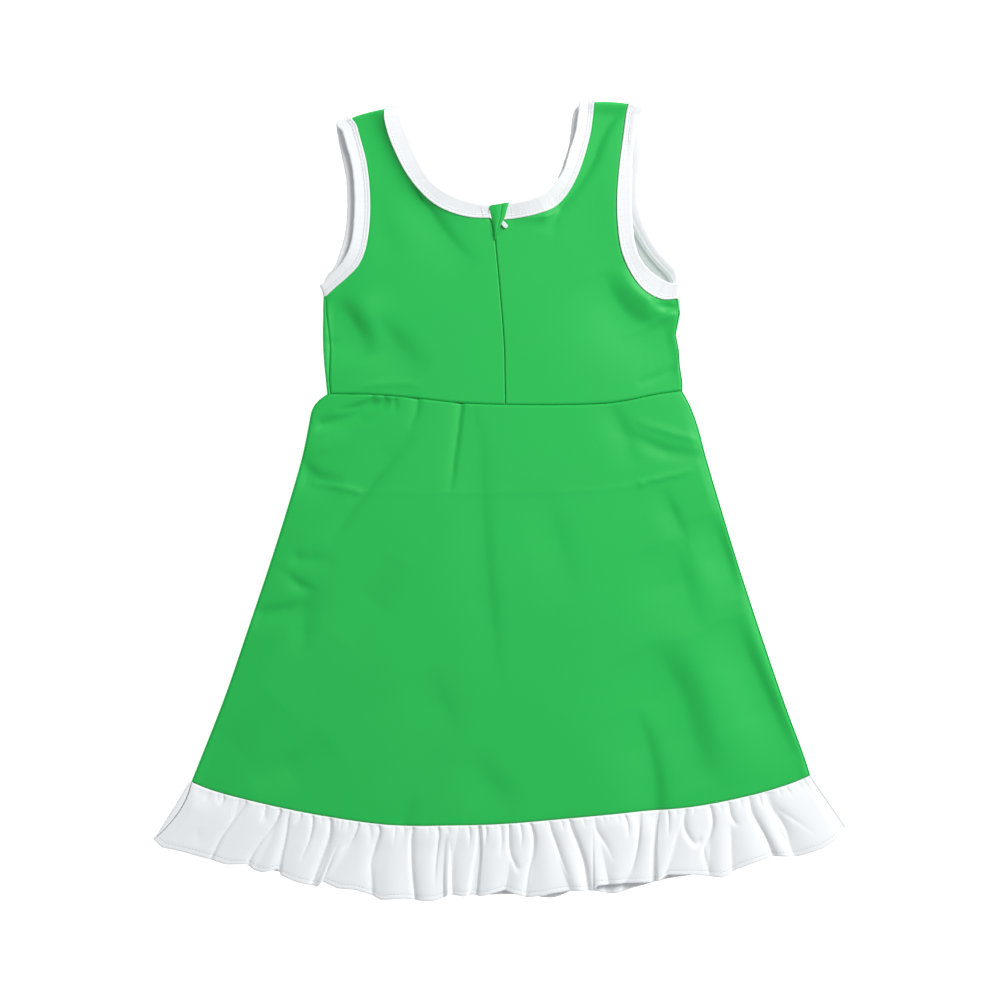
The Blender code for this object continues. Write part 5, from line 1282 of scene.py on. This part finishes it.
class Nodes:
    """A node tree, with one method that adds any node to it."""

    def __init__(self, tree):
        self.tree = tree

    def add(self, kind, settings=None, values=(), output=0):
        """A new node with its settings and the values or links of its sockets."""
        node = self.tree.nodes.new(kind)
        for name, value in (settings or {}).items():
            setattr(node, name, value)
        pairs = values.items() if isinstance(values, dict) else enumerate(values)
        for key, value in pairs:
            self.put(node.inputs[key], value)
        return Value(self, node.outputs[output])

    def put(self, socket, value):
        """Link a value to a socket, or set the socket to a number or colour."""
        if isinstance(value, Value):
            self.tree.links.new(value.socket, socket)
        else:
            socket.default_value = value


class Shade(Nodes):
    """A material and the nodes that make it."""

    def __init__(self, name):
        self.material = bpy.data.materials.new(name)
        self.material.use_nodes = True
        super().__init__(self.material.node_tree)
        self.surface = self.tree.nodes["Principled BSDF"]

    def set(self, **values):
        """Set the shader's own sockets, named with _ for a space."""
        for name, value in values.items():
            self.put(self.surface.inputs[name.replace("_", " ")], value)
        return self.material

    def place(self):
        """Object coordinates."""
        return self.add("ShaderNodeTexCoord", output=3)

    def axes(self, place):
        """The x, y and z of a place, each a value."""
        return self.add("ShaderNodeSeparateXYZ", values=(place,)).siblings()

    def noise(self, place, size, detail=2.0, roughness=0.5):
        """Smooth noise about 0 to 1, with patches of a size in metres."""
        values = {"Vector": place, "Scale": 1 / size, "Detail": detail, "Roughness": roughness}
        return self.add("ShaderNodeTexNoise", values=values)

    def blend(self, share, first, second):
        """One colour turning into another."""
        settings = {"data_type": "RGBA"}
        return self.add("ShaderNodeMix", settings, {0: share, 6: first, 7: second}, output=2)

    def bump(self, height, distance):
        """A normal from a height between 0 and 1 and how many metres high that is."""
        values = {"Height": height, "Distance": distance, "Strength": 1.0}
        return self.add("ShaderNodeBump", values=values)


def patterned(name):
    """A new material, with a point's place and its x and y to draw a pattern on."""
    shade = Shade(name)
    place = shade.place()
    x, y, _ = shade.axes(place)
    return shade, place, x, y


def tone(colour, share):
    """A colour made lighter or darker, with its alpha."""
    return tuple(min(part * share, 1.0) for part in colour[:3]) + (1.0,)


def knit_height(x, y, pitch):
    """Height of a fine knit: columns of small loops."""
    wale = (x * (2 * math.pi / pitch)).math("SINE")
    course = (y * (2 * math.pi / (pitch * 0.8)) + abs(wale) * 1.4).math("SINE")
    return wale * 0.3 + course * 0.2 + 0.5


def knit(name, colour, pitch=0.0007, depth=0.00003, contrast=0.05, roughness=0.55, sheen=0.1):
    """Stretch knit: fine loops, soft shifts of tone and of gloss."""
    shade, place, x, y = patterned(name)
    cloud = shade.noise(place, 0.06, 3.0)
    grain = shade.noise(place, 0.0012, 2.0, 0.6)
    share = cloud * 0.7 + grain * 0.3
    colours = shade.blend(share, tone(colour, 1 - contrast), tone(colour, 1 + contrast))
    height = knit_height(x, y, pitch) * 0.7 + grain * 0.3
    return shade.set(
        Base_Color=colours,
        Roughness=cloud * 0.12 + (roughness - 0.06),
        Specular_IOR_Level=0.5,
        Sheen_Weight=sheen,
        Sheen_Roughness=0.5,
        Normal=shade.bump(height, depth),
    )


def thread(name, colour):
    """Twisted sewing thread."""
    shade, place, x, y = patterned(name)
    twist = ((x + y) * (2 * math.pi / 0.0005)).math("SINE") * 0.5 + 0.5
    fuzz = shade.noise(place, 0.0006, 3.0, 0.7)
    colours = shade.blend(twist * 0.5 + fuzz * 0.5, tone(colour, 0.86), tone(colour, 1.0))
    return shade.set(Base_Color=colours, Roughness=fuzz * 0.2 + 0.5, Normal=shade.bump(twist, 0.00003))


def tape(name, colour):
    """Woven zip tape, with a fine herringbone."""
    shade, _, x, y = patterned(name)
    zigzag = abs((x * (1 / 0.0024)).math("FRACT") - 0.5)
    rows = ((y * (1 / 0.0009) + zigzag * 2.0) * (2 * math.pi)).math("SINE") * 0.5 + 0.5
    colours = shade.blend(rows, tone(colour, 0.75), tone(colour, 1.05))
    return shade.set(Base_Color=colours, Roughness=rows * 0.1 + 0.6, Normal=shade.bump(rows, 0.00005))


def metal(name, colour):
    """Plated metal with fine scratches and duller patches."""
    shade, place, x, y = patterned(name)
    drawn_out = shade.add("ShaderNodeCombineXYZ", values=(x * 6.0, y * 0.4, 0.0))
    scratch = shade.noise(drawn_out, 0.001, 4.0)
    dull = shade.noise(place, 0.002, 3.0)
    colours = shade.blend(dull, tone(colour, 0.82), tone(colour, 1.0))
    return shade.set(Base_Color=colours, Metallic=1.0, Roughness=dull * 0.2 + 0.24,
                     Normal=shade.bump(scratch, 0.000012))


def enamel(name, colour):
    """White enamel, a little thin and worn in small patches."""
    shade = Shade(name)
    place = shade.place()
    peel = shade.noise(place, 0.0009, 2.0)
    stain = shade.noise(place, 0.004, 3.0)
    colours = shade.blend(stain, tone(colour, 0.93), tone(colour, 1.0))
    return shade.set(Base_Color=colours, Roughness=stain * 0.15 + 0.2, Coat_Weight=0.4,
                     Coat_Roughness=0.15, Normal=shade.bump(peel, 0.00001))


# Stitches


def stitch_tree():
    """Nodes that set a short thread at every stitch of a line of sewing."""
    tree = bpy.data.node_groups.new("stitches", "GeometryNodeTree")
    for name, kind in (("Line", "Geometry"), ("Pitch", "Float"), ("Stitch Length", "Float"),
                       ("Thread", "Float"), ("Material", "Material")):
        socket = tree.interface.new_socket(name, in_out="INPUT", socket_type=f"NodeSocket{kind}")
        if kind == "Float":
            socket.subtype = "DISTANCE"
    tree.interface.new_socket("Stitches", in_out="OUTPUT", socket_type="NodeSocketGeometry")
    nodes = Nodes(tree)
    line, pitch, length, width, material = nodes.add("NodeGroupInput").siblings()[:5]
    curve = nodes.add("GeometryNodeMeshToCurve", values=(line,))
    even = nodes.add("GeometryNodeResampleCurve", {"mode": "LENGTH"}, {"Curve": curve, "Length": pitch})
    points = nodes.add("GeometryNodeCurveToPoints", {"mode": "EVALUATED"}, (even,))
    along = Value(nodes, points.socket.node.outputs["Rotation"])
    bead = nodes.add("GeometryNodeMeshUVSphere", values={"Segments": 6, "Rings": 4, "Radius": 0.5})
    size = nodes.add("ShaderNodeCombineXYZ", values=(width, width, length))
    stitch = nodes.add("GeometryNodeTransform", values={"Geometry": bead, "Scale": size})
    sway = nodes.add("FunctionNodeRandomValue", {"data_type": "FLOAT"},
                     {2: -STITCH_SWAY, 3: STITCH_SWAY, "Seed": 7}, output=1)
    lean = nodes.add("ShaderNodeCombineXYZ", values=(sway,))
    turn = nodes.add("FunctionNodeRotateRotation", {"rotation_space": "LOCAL"}, (along, lean))
    places = {"Points": points, "Instance": stitch, "Rotation": turn}
    placed = nodes.add("GeometryNodeInstanceOnPoints", values=places)
    real = nodes.add("GeometryNodeRealizeInstances", values=(placed,))
    painted = nodes.add("GeometryNodeSetMaterial", values={"Geometry": real, "Material": material})
    nodes.put(tree.nodes.new("NodeGroupOutput").inputs[0], painted)
    return tree


def sew(name, lines, material):
    """Stitches along lines of points, as one plain mesh."""
    sizes = bpy.context.scene.dress_sizes
    verts, edges = [], []
    for line in lines:
        first = len(verts)
        verts += ((line + SHIFT) * MM).tolist()
        edges += [(first + i, first + i + 1) for i in range(len(line) - 1)]
    data = bpy.data.meshes.new(name)
    data.from_pydata(verts, edges, [])
    made = add_object(name, data)
    tree = bpy.data.node_groups.get("stitches") or stitch_tree()
    nodes = made.modifiers.new("Stitches", "NODES")
    nodes.node_group = tree
    values = {"Pitch": sizes.stitch_pitch, "Stitch Length": sizes.stitch_length,
              "Thread": sizes.thread_width, "Material": material}
    for item in tree.interface.items_tree:
        if item.in_out == "INPUT" and item.name in values:
            nodes[item.identifier] = values[item.name]
    bpy.context.view_layer.update()
    graph = bpy.context.evaluated_depsgraph_get()
    plain = bpy.data.meshes.new_from_object(made.evaluated_get(graph))
    made.modifiers.clear()
    made.data = plain
    plain.shade_smooth()
    return made


# Finishing a piece


def finish(piece, body, nodes):
    """Let a piece ride on its body and stand for its nodes."""
    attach(piece, body)
    if nodes:
        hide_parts(*nodes)
    return piece


def tube(name, points, material, closed, ends=False):
    """A closed tube from rings of points, open or closed along its length."""
    rings = np.concatenate((points, points[:1])) if closed else points
    made = add_object(name, surface(name, [rings], faces_up=None, wrap=True))
    mesh = bmesh.new()
    mesh.from_mesh(made.data)
    if ends:
        rims = [edge for edge in mesh.edges if edge.is_boundary]
        bmesh.ops.edgeloop_fill(mesh, edges=rims)
    bmesh.ops.recalc_face_normals(mesh, faces=mesh.faces)
    mesh.to_mesh(made.data)
    mesh.free()
    made.data.shade_smooth()
    made.data.set_sharp_from_angle(angle=math.radians(50))
    made.data.materials.append(material)
    return made


def colours():
    """The colours that the panel shows."""
    return bpy.context.scene.dress_colours


def named_material(name, make):
    """A material by its name, made the first time it is asked for."""
    return bpy.data.materials.get(name) or make()


def green_cloth():
    """Right side of the green knit, and its wrong side, darkened with painted shade."""
    shade = colours()
    return [
        named_material("green knit", lambda: knit("green knit", shade.green)),
        named_material("green knit wrong side with painted shade", lambda: knit(
            "green knit wrong side with painted shade", shade.wrong_side_with_painted_shade, contrast=0.03, roughness=0.8)),
    ]


def white_cloth():
    return named_material("white knit", lambda: knit(
        "white knit", colours().white, pitch=0.0008, depth=0.00005, contrast=0.02, roughness=0.75))


# The bindings' white is the ruffles' white knit painted darker, as painted shade.
def band_cloth_painted_shade():
    return named_material("white binding with painted shade", lambda: knit(
        "white binding with painted shade", colours().binding, pitch=0.0008, depth=0.00006, contrast=0.03, roughness=0.75))


def white_thread():
    return named_material("white thread", lambda: thread("white thread", colours().thread))


# Stage, in metres: floor, sky, one large light and the camera over the dress
FLOOR_HALF = 12.0
FLOOR_Z = -0.0004
FLOOR_GLOW = 0.8
SKY_COLOUR = (0.96, 0.98, 1.0, 1.0)
SKY_STRENGTH = 0.42
KEY_PLACE = (1.56, 1.38, 1.68)
KEY_AIM = (0.0, -0.05, 0.0)
KEY_SIZE = 1.26
KEY_POWER = 70.0
CAMERA_LENS = 85.0
CAMERA_SENSOR = 36.0
CAMERA_PLACE = (0.000275, -0.0000148, 1.7738)

# Operators


def size_property(name, description, default):
    return FloatProperty(name=name, description=description, default=default, unit="LENGTH")


def colour_property(name, description, default):
    return FloatVectorProperty(name=name, description=description, default=default, size=3,
                               subtype="COLOR")


class DressSizes(bpy.types.PropertyGroup):
    """Sizes of the cloth and its sewing."""

    cloth: size_property("Cloth", "Thickness of the green knit", 0.00085)
    ruffle_cloth: size_property("Ruffle cloth", "Thickness of the ruffles' knit", 0.0008)
    stitch_pitch: size_property("Stitch pitch", "From one stitch to the next", 0.0026)
    stitch_length: size_property("Stitch length", "Length of one stitch", 0.0021)
    thread_width: size_property("Thread", "Width of the sewing thread", 0.0004)


class DressColours(bpy.types.PropertyGroup):
    """Colours of the cloth and the zip, in linear light."""

    green: colour_property("Green", "Colour of the green knit", (0.004, 0.497, 0.073))
    # The wrong side's colour is the knit's pale grey-green, darkened with painted shade for the shaded
    # gaps at the armholes where it shows.
    wrong_side_with_painted_shade: colour_property("Wrong side", "Wrong side of the green knit", (0.54, 0.61, 0.58))
    white: colour_property("White", "Colour of the ruffles", (0.905, 0.925, 0.94))
    # The bindings are the same white knit as the ruffles, their colour painted darker as shade.
    binding: colour_property("Binding", "Colour of the bindings", (0.83, 0.852, 0.862))
    thread: colour_property("Thread", "Colour of the white thread", (0.74, 0.76, 0.78))
    tape: colour_property("Zip tape", "Colour of the zip's tape", (0.03, 0.36, 0.08))
    metal: colour_property("Metal", "Colour of the zip's slider", (0.78, 0.79, 0.80))
    enamel: colour_property("Enamel", "Colour of the pull tab", (0.82, 0.83, 0.84))
    floor: colour_property("Floor", "Colour of the floor", (0.92, 0.92, 0.92))


class DRESS_OT_bodice(bpy.types.Operator):
    """Make the front bodice and both halves of the back bodice"""

    bl_idname = "dress.bodice"
    bl_label = "Bodice"

    def execute(self, context):
        wall = context.scene.dress_sizes.cloth / MM
        for half, name, flat in zip(HALVES, ("left", "right"), ((0.136, 0.222), (0.134, 0.226))):
            piece = cloth(f"back_bodice_{name}", [back_bodice_points(half)], wall, green_cloth())
            finish(piece, "dress", [f"bodice_back_{name}"])
        piece = cloth("front_bodice", front_bodice_points(), wall, green_cloth(), faces_up=False)
        finish(piece, "dress", ["bodice_front"])
        return {"FINISHED"}


class DRESS_OT_skirt(bpy.types.Operator):
    """Make the back and front skirt"""

    bl_idname = "dress.skirt"
    bl_label = "Skirt"

    def execute(self, context):
        wall = context.scene.dress_sizes.cloth / MM
        piece = cloth("back_skirt", [back_skirt_points()], wall, green_cloth())
        finish(piece, "dress", ["skirt_back"])
        piece = cloth("front_skirt", [front_skirt_points()], wall, green_cloth(), faces_up=False)
        finish(piece, "dress", ["skirt_front"])
        return {"FINISHED"}


class DRESS_OT_ruffles(bpy.types.Operator):
    """Make the gathered ruffles of the hem and their hem stitching"""

    bl_idname = "dress.ruffles"
    bl_label = "Ruffles"

    def execute(self, context):
        wall = context.scene.dress_sizes.ruffle_cloth / MM
        points = back_ruffle_points()
        piece = cloth("back_ruffle", [points], wall, [white_cloth()])
        finish(piece, "dress", ["ruffle_back"])
        hem = points[STITCHED_ROW, 4:-4] + np.array((0.0, 0.0, 0.12))
        stitches = sew("back_ruffle_stitches", [hem], white_thread())
        finish(stitches, "dress", [])
        piece = cloth("front_ruffle", [front_ruffle_points()], wall, [white_cloth()], faces_up=False)
        finish(piece, "dress", ["ruffle_front"])
        return {"FINISHED"}


class DRESS_OT_bindings(bpy.types.Operator):
    """Make the bindings of the neck and of both armholes, with their stitching"""

    bl_idname = "dress.bindings"
    bl_label = "Bindings"

    def execute(self, context):
        for name, node, frames, closed, seed, length in (
            ("neck_band", "neck_binding", neck_frames(), False, 1.0, 0.69),
            ("armhole_band_left", "armhole_binding_left",
             armhole_frames(ARM_LEFT, UNDERARM_LEFT, ARMHOLE_LIFTS[0]), True, 2.0, 0.3),
            ("armhole_band_right", "armhole_binding_right",
             armhole_frames(ARM_RIGHT, UNDERARM_RIGHT, ARMHOLE_LIFTS[1]), True, 3.0, 0.34),
        ):
            points = binding_points(frames, seed)
            piece = tube(name, points, band_cloth_painted_shade(), closed, ends=not closed)
            finish(piece, "dress", [node])
            lines = []
            for row in STITCH_ROWS:
                lines += [on_binding(frames, row, None, height) for height in STITCH_HEIGHTS]
            if name == "neck_band":
                lines += bar_tacks()
            stitches = sew(f"{name}_stitches", lines, white_thread())
            finish(stitches, "dress", [])
        return {"FINISHED"}


class DRESS_OT_zip(bpy.types.Operator):
    """Make the concealed zip, its slider and pull tab, and the guard flap"""

    bl_idname = "dress.zip"
    bl_label = "Zip"

    def execute(self, context):
        shade = colours()
        middle = Curve(ZIP_LINE).at(np.linspace(*TAPE_SHARES, 90))
        x = middle[:, :1] + np.linspace(-TAPE_HALF, TAPE_HALF, 19)
        y = np.broadcast_to(middle[:, 1:], x.shape)
        points = np.stack((x, y, bodice_top(x, y) - TAPE_DEPTH), axis=-1)
        piece = cloth("zip_tape_woven", [points], TAPE_WALL, [tape("zip tape", shade.tape)])
        finish(piece, "dress", ["zip_tape"])
        coil = tube("zip_coil", coil_points(), thread("zip coil", shade.tape), closed=False, ends=True)
        finish(coil, "dress", [])
        plated = metal("zip metal", shade.metal)
        slider = tube("zip_slider_body", slider_points(), plated, closed=False, ends=True)
        finish(slider, "dress", ["zip_slider"])
        white = enamel("tab enamel", shade.enamel)
        tab = tube("pull_tab_enamelled", tab_points(), white, closed=False)
        finish(tab, "pull_tab", ["pull_tab"])
        piece = cloth("guard_flap", [flap_points()], FLAP_WALL, green_cloth()[:1])
        finish(piece, "dress", ["zip_flap"])
        return {"FINISHED"}


class DRESS_OT_stage(bpy.types.Operator):
    """Make the floor, the light and the camera"""

    bl_idname = "dress.stage"
    bl_label = "Stage"

    def execute(self, context):
        scene = context.scene
        ways = ((-1, -1), (1, -1), (1, 1), (-1, 1))
        corners = [(x * FLOOR_HALF, y * FLOOR_HALF, FLOOR_Z) for x, y in ways]
        floor = bpy.data.meshes.new("floor")
        floor.from_pydata(corners, [], [(0, 1, 2, 3)])
        floor.materials.append(Shade("floor").set(
            Base_Color=tuple(colours().floor) + (1.0,), Roughness=0.9,
            Emission_Color=(1, 1, 1, 1), Emission_Strength=FLOOR_GLOW))
        add_object("floor", floor)
        scene.world = bpy.data.worlds.new("studio")
        scene.world.use_nodes = True
        sky = scene.world.node_tree.nodes["Background"]
        sky.inputs["Color"].default_value = SKY_COLOUR
        sky.inputs["Strength"].default_value = SKY_STRENGTH
        light = bpy.data.lights.new("key", "AREA")
        light.energy = KEY_POWER
        light.size = KEY_SIZE
        way = Vector(KEY_AIM) - Vector(KEY_PLACE)
        turn = way.to_track_quat("-Z", "Y").to_matrix().to_4x4()
        add_object("key", light).matrix_world = Matrix.Translation(KEY_PLACE) @ turn
        data = bpy.data.cameras.new("camera")
        data.lens = CAMERA_LENS
        data.sensor_width = CAMERA_SENSOR
        scene.camera = add_object("camera", data)
        scene.camera.location = CAMERA_PLACE
        scene.view_settings.view_transform = "Standard"
        return {"FINISHED"}


OPERATORS = (DRESS_OT_bodice, DRESS_OT_skirt, DRESS_OT_ruffles, DRESS_OT_bindings, DRESS_OT_zip,
             DRESS_OT_stage)


class DRESS_PT_pieces(bpy.types.Panel):
    """Pieces of the dress"""

    bl_label = "Dress"
    bl_space_type = "VIEW_3D"
    bl_region_type = "UI"
    bl_category = "Dress"

    def draw(self, context):
        for group in (context.scene.dress_sizes, context.scene.dress_colours):
            for name in group.bl_rna.properties.keys():
                if name not in ("rna_type", "name"):
                    self.layout.prop(group, name)
        for item in OPERATORS:
            self.layout.operator(item.bl_idname)


CLASSES = (DressSizes, DressColours, *OPERATORS, DRESS_PT_pieces)


def register():
    for item in CLASSES:
        bpy.utils.register_class(item)
    bpy.types.Scene.dress_sizes = PointerProperty(type=DressSizes)
    bpy.types.Scene.dress_colours = PointerProperty(type=DressColours)


def unregister():
    del bpy.types.Scene.dress_colours
    del bpy.types.Scene.dress_sizes
    for item in reversed(CLASSES):
        bpy.utils.unregister_class(item)


def plain(box):
    """A box's corners as plain lists of numbers."""
    return [[float(value) for value in corner] for corner in box]


def main():
    register()
    bpy.ops.dress.bodice()
    bpy.ops.dress.skirt()
    bpy.ops.dress.ruffles()
    bpy.ops.dress.bindings()
    bpy.ops.dress.zip()
    bpy.ops.dress.stage()


if __name__ == "__main__":
    main()
